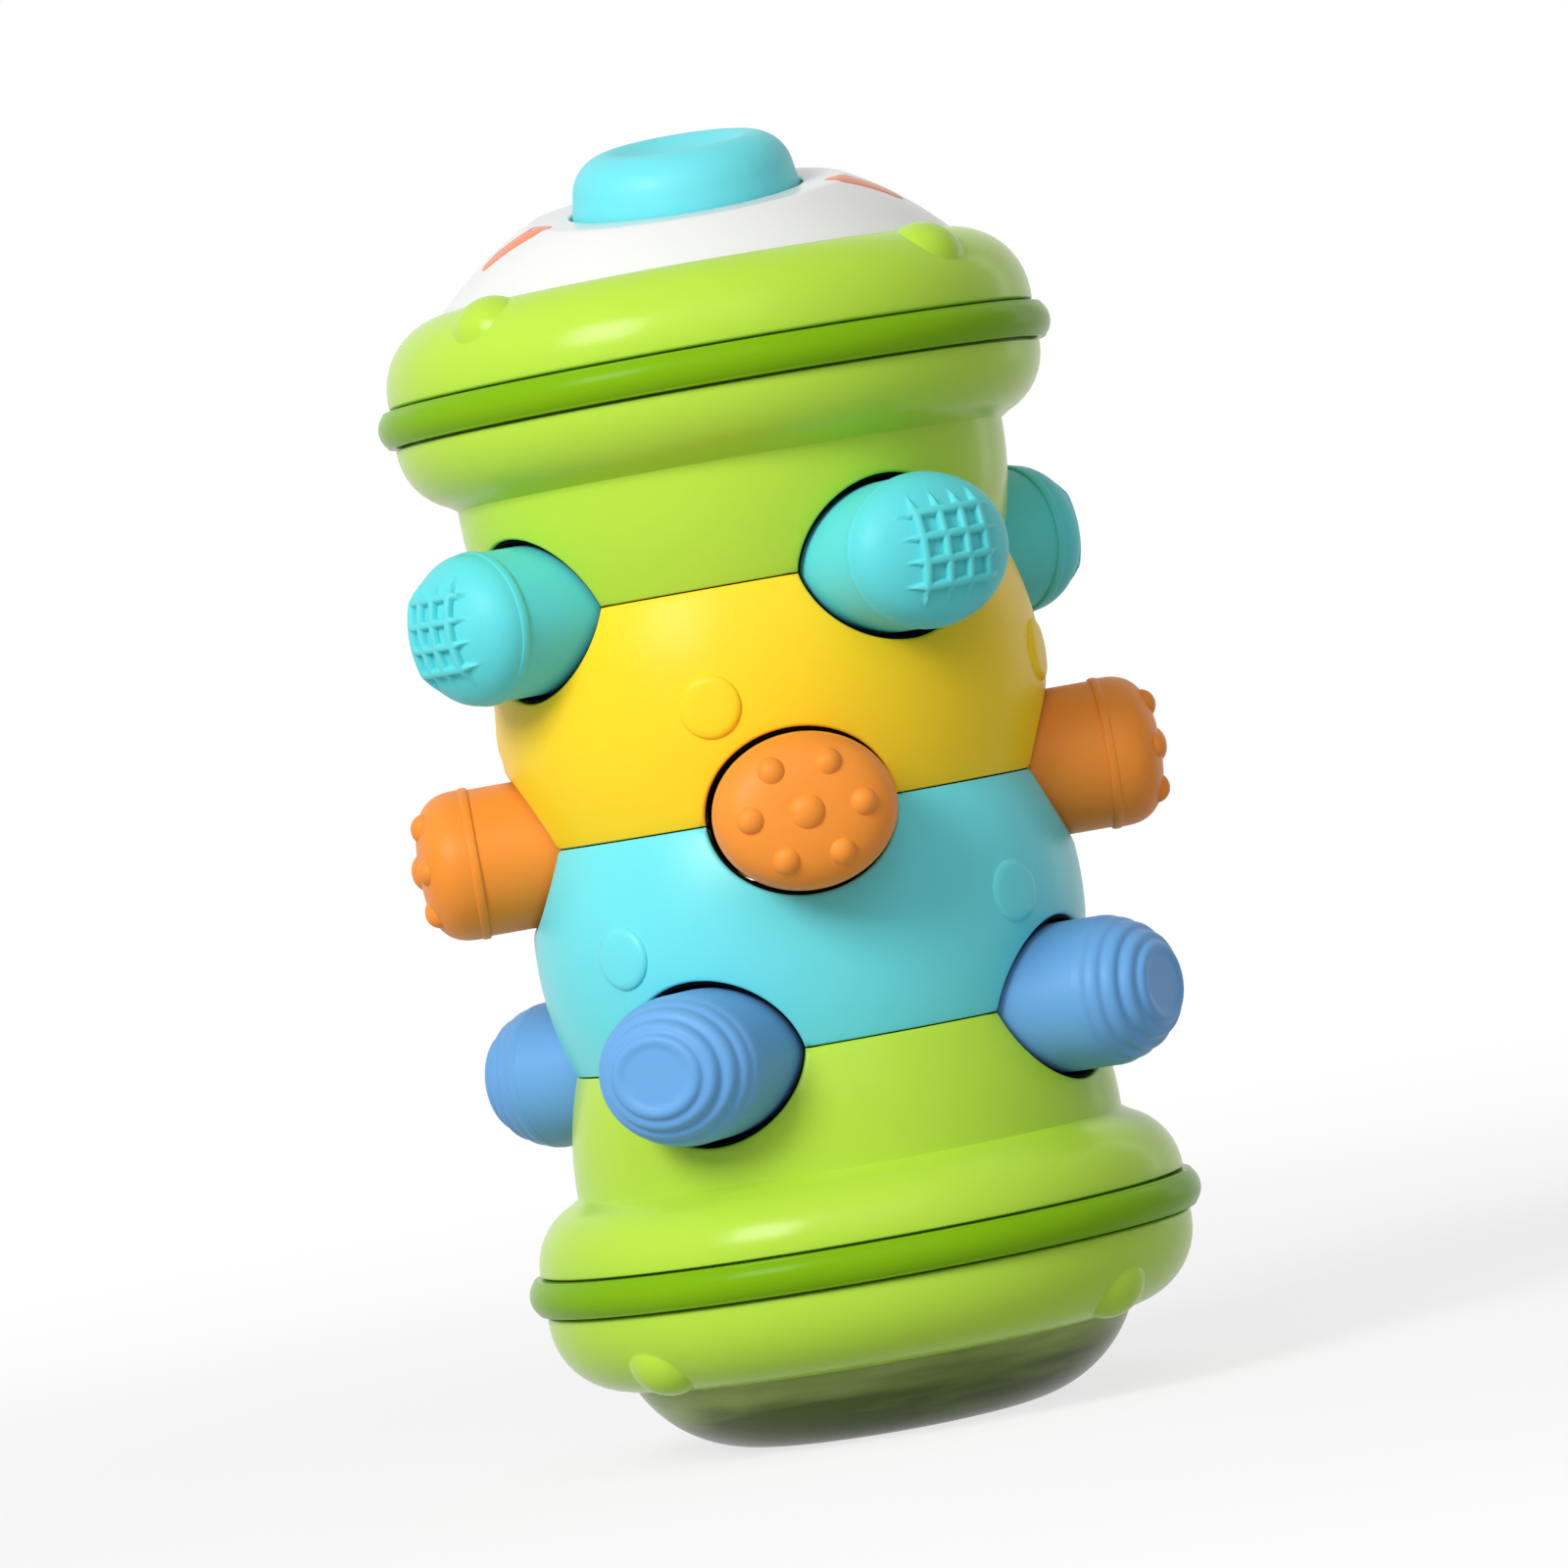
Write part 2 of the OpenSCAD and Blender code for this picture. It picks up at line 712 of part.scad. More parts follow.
base_dome();
bottom_cover();
bottom_band();
lower_neck();
cyan_shell();
yellow_shell();
upper_neck();
top_band();
top_cover();
top_dome();
dome_marks();
button();
squeaker_bellows();
squeaker_reed();
seam_screws(0);  // upper_seam_screws
seam_screws(1);  // middle_seam_screws
seam_screws(2);  // lower_seam_screws
peg_guide(0);  // upper_peg_guide
peg_guide(1);  // middle_peg_guide
peg_guide(2);  // lower_peg_guide
for (row = [0:len(rows) - 1]) {
    split_rail(row, 1);
    split_rail(row, -1);
    cross_rail(row);
    for (k = [0:pegs_per_row - 1]) {
        peg(row, k);
        cap(row, k);
    }
}
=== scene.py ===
import json
import math
from collections import namedtuple

import bmesh
import bpy
import numpy as np
from mathutils import Matrix, Vector
from mathutils.geometry import delaunay_2d_cdt


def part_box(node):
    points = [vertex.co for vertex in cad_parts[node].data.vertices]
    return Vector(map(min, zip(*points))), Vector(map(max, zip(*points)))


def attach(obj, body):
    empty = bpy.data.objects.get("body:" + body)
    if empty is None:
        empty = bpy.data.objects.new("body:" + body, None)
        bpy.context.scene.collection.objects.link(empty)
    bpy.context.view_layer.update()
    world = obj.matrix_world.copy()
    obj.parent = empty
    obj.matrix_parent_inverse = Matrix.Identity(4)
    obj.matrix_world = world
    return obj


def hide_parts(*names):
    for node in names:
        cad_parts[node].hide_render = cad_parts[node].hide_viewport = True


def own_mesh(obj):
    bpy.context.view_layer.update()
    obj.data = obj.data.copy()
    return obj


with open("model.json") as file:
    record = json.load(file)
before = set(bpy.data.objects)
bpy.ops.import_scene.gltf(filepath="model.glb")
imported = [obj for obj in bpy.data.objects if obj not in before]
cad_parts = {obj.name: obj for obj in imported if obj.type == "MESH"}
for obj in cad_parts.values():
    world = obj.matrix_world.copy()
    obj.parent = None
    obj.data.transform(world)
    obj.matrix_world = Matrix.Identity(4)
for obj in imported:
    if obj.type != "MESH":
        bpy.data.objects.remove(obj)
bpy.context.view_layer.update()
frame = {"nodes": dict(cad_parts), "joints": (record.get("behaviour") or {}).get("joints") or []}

# Base dome: a shallow bowl of smoky olive plastic that the toy stands on.
# It is moulded in one piece, with a flat middle, and its rim is held by the bottom cover.
MM = 0.001
WALL = 1.8 * MM


def middle(node):
    """Centre of a CAD node's box."""
    low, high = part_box(node)
    return (low + high) / 2


def arc(x, z, radius, start, end, count=24):
    """Points of an arc in an outline, with angles in degrees from the outward direction."""
    turns = np.radians(np.linspace(start, end, count))
    return [(x + radius * math.cos(t), z + radius * math.sin(t)) for t in turns]


def finished(name, verts, faces, crisp=38):
    """Mesh object with outward faces, smooth apart from edges sharper than crisp degrees."""
    mesh = bpy.data.meshes.new(name)
    mesh.from_pydata([tuple(v) for v in verts], [], faces)
    work = bmesh.new()
    work.from_mesh(mesh)
    bmesh.ops.remove_doubles(work, verts=work.verts, dist=0.002 * MM)
    bmesh.ops.recalc_face_normals(work, faces=work.faces)
    work.to_mesh(mesh)
    work.free()
    mesh.polygons.foreach_set("use_smooth", [True] * len(mesh.polygons))
    mesh.set_sharp_from_angle(angle=math.radians(crisp))
    piece = bpy.data.objects.new(name, mesh)
    bpy.context.scene.collection.objects.link(piece)
    return piece


def turned(name, outline, place=None, half_w=1.0, half_h=1.0, sides=192, crisp=38):
    """Closed outline of (radius, height) points turned round an axis, on an oval if the halves differ."""
    place = place or Matrix.Identity(4)
    verts, rings, faces = [], [], []
    around = np.linspace(0, 2 * math.pi, sides, endpoint=False)
    for radius, height in outline:
        if radius < 1e-9:
            rings.append([len(verts)] * sides)
            verts.append(place @ Vector((0, 0, height)))
            continue
        rings.append(range(len(verts), len(verts) + sides))
        wide, high = radius * half_w, radius * half_h
        verts += [place @ Vector((wide * math.cos(t), high * math.sin(t), height)) for t in around]
    for lower, upper in zip(rings, rings[1:] + rings[:1]):
        for i in range(sides):
            j = (i + 1) % sides
            corners = list(dict.fromkeys((lower[i], lower[j], upper[j], upper[i])))
            if len(corners) > 2:
                faces.append(corners)
    return finished(name, verts, faces, crisp)


def linear(red, green, blue):
    """Colour from its 0 to 255 screen values."""
    shares = [c / 255 for c in (red, green, blue)]
    return [*(((c + 0.055) / 1.055) ** 2.4 if c > 0.04 else c / 12.92 for c in shares), 1]


def moulded(name, colour, shade, roughness=0.24, shine=0.12, grain=0.04, grain_size=1500, streaks=1):
    """Moulded plastic: two close tones that drift over the piece, uneven gloss and a fine grain.
    With more streaks the tones lie in level layers."""
    material = bpy.data.materials.new(name)
    material.use_nodes = True
    nodes, links = material.node_tree.nodes, material.node_tree.links
    shader = nodes["Principled BSDF"]
    shader.inputs["Specular IOR Level"].default_value = shine
    place = nodes.new("ShaderNodeTexCoord")

    drift = nodes.new("ShaderNodeTexNoise")
    drift.inputs["Scale"].default_value = 22
    drift.inputs["Detail"].default_value = 3
    flow = nodes.new("ShaderNodeMapping")
    flow.inputs["Scale"].default_value = (1, 1, streaks)
    links.new(place.outputs["Object"], flow.inputs["Vector"])
    links.new(flow.outputs["Vector"], drift.inputs["Vector"])
    tones = nodes.new("ShaderNodeValToRGB")
    tones.color_ramp.elements[0].position = 0.32
    tones.color_ramp.elements[0].color = linear(*shade)
    tones.color_ramp.elements[1].position = 0.68
    tones.color_ramp.elements[1].color = linear(*colour)
    links.new(drift.outputs["Fac"], tones.inputs["Fac"])
    links.new(tones.outputs["Color"], shader.inputs["Base Color"])

    gloss = nodes.new("ShaderNodeMapRange")
    gloss.inputs["To Min"].default_value = roughness * 0.88
    gloss.inputs["To Max"].default_value = roughness * 1.12
    links.new(drift.outputs["Fac"], gloss.inputs["Value"])
    links.new(gloss.outputs["Result"], shader.inputs["Roughness"])

    fine = nodes.new("ShaderNodeTexNoise")
    fine.inputs["Scale"].default_value = grain_size
    fine.inputs["Detail"].default_value = 2
    links.new(place.outputs["Object"], fine.inputs["Vector"])
    bump = nodes.new("ShaderNodeBump")
    bump.inputs["Strength"].default_value = grain
    bump.inputs["Distance"].default_value = 0.2 * MM
    links.new(fine.outputs["Fac"], bump.inputs["Height"])
    links.new(bump.outputs["Normal"], shader.inputs["Normal"])
    return material


def fitted(piece, body, slot, material, *cad_nodes):
    """Gives a piece its material and its body, and lets it stand for its CAD nodes."""
    piece.data.materials.append(material)
    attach(piece, body)
    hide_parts(*cad_nodes)
    return piece


ring_low = middle("bottom_band").z
base_flat_r = 20 * MM
base_round = 20.5 * MM
base_top = ring_low + 3.1 * MM
painted_shade_top = ring_low - 14 * MM
# The darker of the two tones is painted shade, set towards the bottom of the bowl.
smoky_painted_shade = moulded("smoky_olive_plastic_painted_shade", (166, 186, 108), (80, 98, 42), streaks=9)


def painted_shade_upward(material, low, high):
    """Painted shade: lets the tones of a material go from the darker to the paler one between two heights.
    """
    nodes, links = material.node_tree.nodes, material.node_tree.links
    height = nodes.new("ShaderNodeSeparateXYZ")
    links.new(nodes["Texture Coordinate"].outputs["Object"], height.inputs["Vector"])
    level = nodes.new("ShaderNodeMapRange")
    level.inputs["From Min"].default_value = low
    level.inputs["From Max"].default_value = high
    level.inputs["To Min"].default_value = -0.3
    level.inputs["To Max"].default_value = 0.2
    links.new(height.outputs["Z"], level.inputs["Value"])
    tone = nodes.new("ShaderNodeMath")
    links.new(nodes["Noise Texture"].outputs["Fac"], tone.inputs[0])
    links.new(level.outputs["Result"], tone.inputs[1])
    links.new(tone.outputs["Value"], nodes["Color Ramp"].inputs["Fac"])


# Painted shade and painted reflection: the bowl is darker towards the bottom as painted shade and paler
# towards the top as a painted reflection of the pale surround.
painted_shade_upward(smoky_painted_shade, 0, painted_shade_top)
base_outline = (
    [(0, 0)]
    + arc(base_flat_r, base_round, base_round, -90, 0, 40)
    + [(base_flat_r + base_round, base_top), (base_flat_r + base_round - WALL, base_top)]
    + arc(base_flat_r, base_round, base_round - WALL, 0, -90, 40)
    + [(0, WALL)]
)
fitted(turned("base_dome_bowl", base_outline), "body", "olive_window", smoky_painted_shade, "base_dome")

# Bottom cover: a light green end cap, moulded with four small bumps on its shoulder.
# It snaps over the lower neck and clamps the dark rim band against it.
Profile = namedtuple("Profile", "along radius height out up")
Relief = namedtuple("Relief", "gap loop rings rise cut")
ROUND = np.array([0.0, 0.03, 0.12, 0.3, 0.6, 1.0])


def profile(points):
    """Outer outline of a shell: distance along it, its points, and its outward direction there."""
    r, z = np.array(points).T
    along = np.concatenate([[0], np.cumsum(np.hypot(np.diff(r), np.diff(z)))])
    out, up = np.gradient(z, along), -np.gradient(r, along)
    size = np.hypot(out, up)
    return Profile(along, r, z, out / size, up / size)


def rolled(gap, radius):
    """How far a rounded edge falls away at a distance from the edge."""
    inside = np.clip(radius - gap, 0, radius)
    return np.sqrt(radius ** 2 - inside ** 2) - radius


def relief_shell(name, side, reliefs, start, edges, mirrored=False, wall=WALL, step=1.5 * MM):
    """Thin shell with raised bumps or rounded holes, the same in each quarter turn from start on.
    Every relief gives its gap to a point, loops of points round it, and how far it rises."""
    quarter = math.pi / 2
    width = float(np.mean(side.radius))
    length = side.along[-1]
    clearing = 0.4 * step
    rows = np.linspace(0, length, max(3, round(length / step)))
    rows = np.unique(np.concatenate([rows[1:-1], edges[0] * ROUND, length - edges[1] * ROUND]))
    columns = np.linspace(0, quarter, round(width * quarter / step))
    turn, along = (a.ravel() for a in np.meshgrid(columns, rows))
    clear = np.ones(len(turn), bool)
    for relief in reliefs:
        gap = relief.gap(start + turn, along)
        outside = gap > max(relief.rings) + clearing
        clear &= outside if relief.cut else outside | (gap < min(relief.rings) - clearing)
    points = [Vector((t * width, v)) for t, v in zip(turn[clear], along[clear])]
    joins = []
    for relief in reliefs:
        for ring in relief.rings:
            for loop in relief.loop(ring):
                first = len(points)
                points += [Vector(((t - start) * width, v)) for t, v in loop]
                joins += [(first + i, first + i + 1) for i in range(len(loop) - 1)]
    flat, _, triangles, _, _, _ = delaunay_2d_cdt(points, joins, [], 0, 1e-9, False)

    flat = np.array([tuple(p) for p in flat])
    turn, along = start + flat[:, 0] / width, flat[:, 1]
    triangles = np.array(triangles)
    centre = flat[triangles].mean(axis=1)
    keep = np.ones(len(triangles), bool)
    rise = np.minimum(rolled(along, edges[0]), rolled(length - along, edges[1]))
    for relief in reliefs:
        if relief.cut:
            keep &= relief.gap(start + centre[:, 0] / width, centre[:, 1]) > 0
            rise = np.minimum(rise, relief.rise(relief.gap(turn, along)))
        else:
            rise = rise + relief.rise(relief.gap(turn, along))
    triangles = triangles[keep]
    radius, height, out, up = (np.interp(along, side.along, a) for a in side[1:])

    skins = []
    for lift in (rise, np.full(len(rise), -wall)):
        for k in range(4):
            angle = start + (k + 1) * quarter - (turn - start) if mirrored and k % 2 else turn + k * quarter
            r = radius + out * lift
            skins.append(np.stack([r * np.sin(angle), -r * np.cos(angle), height + up * lift], axis=1))
    count = len(flat)
    verts = np.concatenate(skins)
    outer = np.concatenate([triangles + k * count for k in range(4)])
    inner = outer[:, ::-1] + 4 * count
    sides = np.concatenate([outer[:, [0, 1]], outer[:, [1, 2]], outer[:, [2, 0]]])
    _, first, uses = np.unique(np.sort(sides, axis=1), axis=0, return_index=True, return_counts=True)
    rim = sides[first[uses == 1]]
    seam = np.isclose(flat[:, 0], 0, atol=1e-7) | np.isclose(flat[:, 0], quarter * width, atol=1e-7)
    rim = rim[~(seam[rim[:, 0] % count] & seam[rim[:, 1] % count])]
    bridge = [(b, a, a + 4 * count, b + 4 * count) for a, b in rim.tolist()]
    return finished(name, verts, outer.tolist() + inner.tolist() + bridge)


bump_r = 5.3 * MM
bump_proud = 1.9 * MM
bump_azimuth = math.radians(49.5)


def shoulder_bump(side, middle_v):
    """Round bump on a shoulder, with its middle at a distance along the outline."""
    ball = (bump_r ** 2 + bump_proud ** 2) / (2 * bump_proud)
    spine_r = float(np.interp(middle_v, side.along, side.radius))

    def gap(turn, v):
        return np.hypot((turn - bump_azimuth) * spine_r, v - middle_v) - bump_r

    def loop(ring):
        bend = np.linspace(0, 2 * math.pi, 65)
        v = np.minimum(middle_v + (bump_r + ring) * np.sin(bend), side.along[-1])
        return [list(zip(bump_azimuth + (bump_r + ring) * np.cos(bend) / spine_r, v))]

    def rise(ring):
        across = np.clip(ring + bump_r, 0, bump_r)
        return np.sqrt(ball ** 2 - across ** 2) - (ball - bump_proud)

    rings = [-bump_r * share for share in (0.8, 0.6, 0.4, 0.25, 0.12, 0.04)] + [0, 0.12 * MM]
    return Relief(gap, loop, rings, rise, False)


flange_r = 49.9 * MM
half_band = 3.1 * MM
cover_straight = 4.6 * MM
cover_round = 11.5 * MM
cover_edges = (0.5 * MM, 0.9 * MM)
green = moulded("light_green_gloss_plastic", (182, 221, 65), (177, 216, 61), roughness=0.24, shine=0.2)


def end_cover(name, ring, direction, shoulder_end, bump_tilt, cad_node):
    """End cap from the rim band to the dome that it holds, above its ring or below it."""
    shoulder = arc(flange_r - cover_round, cover_straight, cover_round, 0, shoulder_end, 60)
    outline = [(flange_r, half_band), (flange_r, (half_band + cover_straight) / 2)] + shoulder
    side = profile([(r, ring + direction * z) for r, z in outline])
    if direction < 0:
        side = side._replace(out=-side.out, up=-side.up)
    bump_v = cover_straight - half_band + cover_round * math.radians(bump_tilt)
    bumps = [shoulder_bump(side, bump_v)]
    cover = relief_shell(name, side, bumps, 0, cover_edges, mirrored=True)
    return fitted(cover, "body", "green_shell", green, cad_node)


end_cover("bottom_end_cover", ring_low, -1, 86, 48, "bottom_cover")

# Rim bands: dark green rings with a round bead, moulded as one piece each.
# Each is clamped between an end cover and the flange of a neck, with a fine groove on both sides.
band_r = flange_r + 2.2 * MM
band_bead = 3.5 * MM
band_edge = 0.3 * MM
band_slot = 0.35 * MM
slot_in_r = flange_r - 1.6 * MM
band_in_r = 46.55 * MM
dark_green = moulded("dark_green_gloss_plastic", (127, 178, 15), (120, 170, 11), shine=0.06)


def rim_band(name, cad_node):
    """Ring with a round bead outside and flat faces above and below."""
    z = middle(cad_node).z
    bead_x = band_r - band_bead
    half_bead = half_band - band_slot
    reach = math.degrees(math.asin((half_bead - band_edge) / band_bead))
    tip_x = bead_x + band_bead * math.cos(math.radians(reach)) - band_edge
    outline = arc(bead_x, z, band_bead, -reach, reach, 40)
    outline += arc(tip_x, z + half_bead - band_edge, band_edge, 20, 90, 6)
    outline += [(slot_in_r, z + half_bead), (slot_in_r, z + half_band)]
    outline += [(band_in_r, z + half_band), (band_in_r, z - half_band)]
    outline += [(slot_in_r, z - half_band), (slot_in_r, z - half_bead)]
    outline += arc(tip_x, z - half_bead + band_edge, band_edge, -90, -20, 6)
    return fitted(turned(name, outline), "body", "dark_green_band", dark_green, cad_node)


rim_band("lower_rim_band", "bottom_band")
rim_band("upper_rim_band", "top_band")

# Lower neck: a light green collar that flares into the lower flange under the rim band.
# It is moulded with half-round openings for the blue pegs in its seam edge, and screwed to the cyan shell.
ROWS = {"teal": "upper", "orange": "middle", "blue": "lower"}
row_z = {row: middle(f"{place}_peg_guide").z for row, place in ROWS.items()}
slides = {joint["name"]: Vector(joint["axis"]) for joint in frame["joints"]}
row_azimuth = {row: math.atan2(slides[f"{row}_slide_1"].x, -slides[f"{row}_slide_1"].y) for row in ROWS}
row_pitch = row_z["teal"] - row_z["orange"]
seam_r = 39.1 * MM
swell = 3.1 * MM
swell_r = ((row_pitch / 2) ** 2 + swell ** 2) / (2 * swell)
swell_x = seam_r + swell - swell_r
neck_h = 18.9 * MM
under_round = 10.3 * MM
under_straight = 3.4 * MM
crease_round = 0.6 * MM
seam_edge = 0.35 * MM
flange_edge = 0.25 * MM
peg_half_w = 13.6 * MM
peg_half_h = 11.55 * MM
peg_gap = 0.9 * MM
hole_edge = 0.5 * MM


def oval_gap(x, y, half_w, half_h):
    """Distance outside an oval, found as the growth of the oval that reaches the point."""
    least = -0.5 * half_h
    grown = np.maximum(np.hypot(x, y) - half_w, least)
    for _ in range(12):
        a, b = half_w + grown, half_h + grown
        error = (x / a) ** 2 + (y / b) ** 2 - 1
        slope = 2 * x ** 2 / a ** 3 + 2 * y ** 2 / b ** 3
        grown = np.maximum(grown + error / np.maximum(slope, 1e-6), least)
    return grown


def at_height(side, z):
    """Distance along an outline to a height."""
    sign = 1 if side.height[-1] > side.height[0] else -1
    return np.interp(sign * z, sign * side.height, side.along)


def peg_hole(row, side):
    """Half of an oval opening for a peg, in the edge of a shell that lies on the row's seam."""
    azimuth, seam = row_azimuth[row], row_z[row]
    half_w, half_h = peg_half_w + peg_gap, peg_half_h + peg_gap
    upward = 1 if side.height.mean() > seam else -1

    def gap(turn, v):
        r, z = np.interp(v, side.along, side.radius), np.interp(v, side.along, side.height)
        return oval_gap(r * np.sin(turn - azimuth), z - seam, half_w, half_h)

    def loop(ring):
        bend = np.linspace(0, math.pi, 73)
        v = at_height(side, seam + upward * (half_h + ring) * np.sin(bend))
        x = (half_w + ring) * np.cos(bend)
        return [list(zip(azimuth + np.arcsin(x / np.interp(v, side.along, side.radius)), v))]

    return Relief(gap, loop, hole_edge * ROUND, lambda ring: rolled(ring, hole_edge), True)


def swelling(mid_z, low, high, count=40):
    """Points of a shell's swelling side between two heights."""
    heights = np.linspace(low, high, count)
    return [(swell_x + math.sqrt(swell_r ** 2 - (z - mid_z) ** 2), z) for z in heights]


def neck_shell(name, row, ring, cad_node):
    """Neck from its seam to the flange that the rim band lies on."""
    direction = 1 if ring > row_z[row] else -1
    side = swelling(row_pitch / 2, 0, neck_h - crease_round)
    reach = direction * (ring - row_z[row])
    foot_r = swell_x + math.sqrt(swell_r ** 2 - (neck_h - row_pitch / 2) ** 2)
    foot = math.degrees(math.acos((foot_r + crease_round - flange_r + under_round) / under_round))
    flare = arc(flange_r - under_round, reach - under_straight, under_round, -foot, 0, 50)
    bend = np.linspace(0, 1, 9)[1:-1]
    corner = [tuple((1 - t) ** 2 * np.array(side[-1]) + 2 * t * (1 - t) * np.array((foot_r, neck_h))
                    + t ** 2 * np.array(flare[0])) for t in bend]
    points = side + corner + flare + [(flange_r, reach - half_band)]
    outline = profile([(r, row_z[row] + direction * z) for r, z in points])
    if direction < 0:
        outline = outline._replace(out=-outline.out, up=-outline.up)
    start = row_azimuth[row] - math.pi / 4
    neck = relief_shell(name, outline, [peg_hole(row, outline)], start, (seam_edge, flange_edge))
    return fitted(neck, "body", "green_shell", green, cad_node)


neck_shell("lower_neck_shell", "blue", ring_low, "lower_neck")

# Peg guides: three black rings behind the seams that the pegs of a row run in.
# They are moulded in matt plastic, and show as the dark gap round every peg.
black = moulded("matt_black_plastic", (6, 6, 7), (4, 4, 5), roughness=0.8, shine=0.05)


def finish_node(name, material):
    """Gives a CAD node that stays as it is its finish."""
    node = frame["nodes"][name]
    node.data.materials.clear()
    node.data.materials.append(material)


def peg_place(row, k):
    """Frame of a peg: x along the seam, y up, z out from the body's axis."""
    turn = row_azimuth[row] + k * math.pi / 2
    s, c = math.sin(turn), math.cos(turn)
    return Matrix(((c, 0, s, 0), (s, 0, -c, 0), (0, 1, 0, row_z[row]), (0, 0, 0, 1)))


PEGS = (0, 1, 2, 3)
lip_in, lip_out = 0.45 * MM, peg_gap - 0.03 * MM
lip_deep, lip_high = 2.4 * MM, 0.6 * MM
LIP_CORNERS = ((lip_in, lip_deep), (lip_in, lip_high), (lip_out, lip_high), (lip_out, lip_deep))


def band_between(low, high, count):
    """Faces between two closed loops of points, given by the number of their first points."""
    return [(low + j, low + (j + 1) % count, high + (j + 1) % count, high + j) for j in range(count)]


def gap_lips(name, row, sides=120):
    """Four oval lips in the gaps round the pegs of a row, just under the skin of the shells."""
    around = np.linspace(0, 2 * math.pi, sides, endpoint=False)
    verts, faces = [], []
    for k in PEGS:
        first = len(verts)
        for grown, depth in LIP_CORNERS:
            x, y = (peg_half_w + grown) * np.cos(around), (peg_half_h + grown) * np.sin(around)
            skin = swell_x + np.sqrt(swell_r ** 2 - (row_pitch / 2 - np.abs(y)) ** 2)
            out = np.sqrt((skin - depth) ** 2 - x ** 2)
            verts += [peg_place(row, k) @ Vector(p) for p in zip(x, y, out)]
        for i in range(4):
            faces += band_between(first + i * sides, first + (i + 1) % 4 * sides, sides)
    return finished(name, verts, faces)


for row, place in ROWS.items():
    finish_node(f"{place}_peg_guide", black)
    lips = gap_lips(f"{place}_gap_lips", row)
    lips.data.materials.append(black)
    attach(lips, "body")

# Seam screws: four zinc plated self-tapping screws in each seam, driven down into posts inside the shells.
# They stay hidden once the toy is closed.
zinc = moulded("zinc_plated_steel", (190, 192, 196), (168, 170, 176), roughness=0.32, shine=0.5, grain=0.1)
zinc.node_tree.nodes["Principled BSDF"].inputs["Metallic"].default_value = 1.0
for place in ROWS.values():
    finish_node(f"{place}_seam_screws", zinc)

# Middle shells: the cyan one below and the yellow one above, each swelling between two rows of pegs.
# Both are moulded in gloss plastic with shallow round dots, and screwed together at their seams.
dot_r = 4.8 * MM
dot_proud = 0.75 * MM
dot_edge = 1.3 * MM
dot_turn = math.radians(45)
quarter_start = math.radians(30)


def raised_dot(azimuth, side):
    """Shallow round dot in the middle of a shell, with a rolled edge."""
    mid_z = (side.height[0] + side.height[-1]) / 2

    def gap(turn, v):
        r, z = np.interp(v, side.along, side.radius), np.interp(v, side.along, side.height)
        return np.hypot(r * np.sin(turn - azimuth), z - mid_z) - dot_r

    def loop(ring):
        bend = np.linspace(0, 2 * math.pi, 65)
        v = at_height(side, mid_z + (dot_r + ring) * np.sin(bend))
        x = (dot_r + ring) * np.cos(bend)
        return [list(zip(azimuth + np.arcsin(x / np.interp(v, side.along, side.radius)), v))]

    def rise(ring):
        inward = np.clip(-ring / dot_edge, 0, 1)
        return dot_proud * np.sqrt(1 - (1 - inward) ** 2)

    rings = [-2.4 * MM, *(-dot_edge * ROUND[::-1]), 0.12 * MM]
    return Relief(gap, loop, rings, rise, False)


def middle_shell(name, lower_row, upper_row, slot, material, cad_node):
    """Swelling shell with half openings in both seam edges and a dot in each quarter."""
    low, high = row_z[lower_row], row_z[upper_row]
    side = profile(swelling((low + high) / 2, low, high, 80))
    dot = raised_dot(row_azimuth[upper_row] - dot_turn, side)
    reliefs = [peg_hole(lower_row, side), peg_hole(upper_row, side), dot]
    start = row_azimuth[lower_row] - quarter_start
    shell = relief_shell(name, side, reliefs, start, (seam_edge, seam_edge))
    return fitted(shell, "body", slot, material, cad_node)


cyan = moulded("cyan_gloss_plastic", (110, 224, 231), (104, 219, 227), roughness=0.32, shine=0.26)
yellow = moulded("yellow_gloss_plastic", (253, 217, 42), (250, 211, 37), roughness=0.36, shine=0.16)
middle_shell("cyan_middle_shell", "blue", "orange", "cyan_shell", cyan, "cyan_shell")
middle_shell("yellow_middle_shell", "orange", "teal", "yellow_shell", yellow, "yellow_shell")

# Peg sleeves: twelve oval tubes of satin plastic, four in each row, joined in opposite pairs by rails.
# Push one in and its partner comes out on the far side.
SLEEVES = {
    "teal": ((96, 216, 221), (90, 210, 215)),
    "orange": ((245, 149, 54), (240, 143, 48)),
    "blue": ((108, 169, 226), (102, 163, 220)),
}
satin = {
    row: moulded(f"{row}_satin_plastic", *tones, roughness=0.45, shine=0.22, grain=0.05)
    for row, tones in SLEEVES.items()
}
sleeve_low, sleeve_high = (-y for y in (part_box("orange_peg_1")[1].y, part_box("orange_peg_1")[0].y))
sleeve_in = 1 - 1.8 * MM / peg_half_w
sleeve_floor = 2 * MM
sleeve_size = 1 - 0.25 * MM / peg_half_w
parting = 0.3 * MM


def pair_of(row, k):
    """Body that a peg belongs to: the first and third peg are one slider, the other two the second."""
    return f"{row}_pair_{k % 2 + 1}"


round_end = parting / peg_half_w
sleeve_outline = (
    [(0, sleeve_low), (sleeve_size - 2 * round_end, sleeve_low), (sleeve_size, sleeve_low + 2 * parting)]
    + [(sleeve_size, sleeve_high)]
    + [(sleeve_in, sleeve_high), (sleeve_in, sleeve_low + sleeve_floor), (0, sleeve_low + sleeve_floor)]
)
for row in ROWS:
    for k in PEGS:
        place = peg_place(row, k)
        sleeve = turned(f"{row}_sleeve_{k + 1}", sleeve_outline, place, peg_half_w, peg_half_h, 128)
        fitted(sleeve, pair_of(row, k), f"{row}_sleeve", satin[row], f"{row}_peg_{k + 1}")
    for rail in ("rail_upper", "rail_lower", "cross_rail"):
        finish_node(f"{row}_{rail}", satin[row])

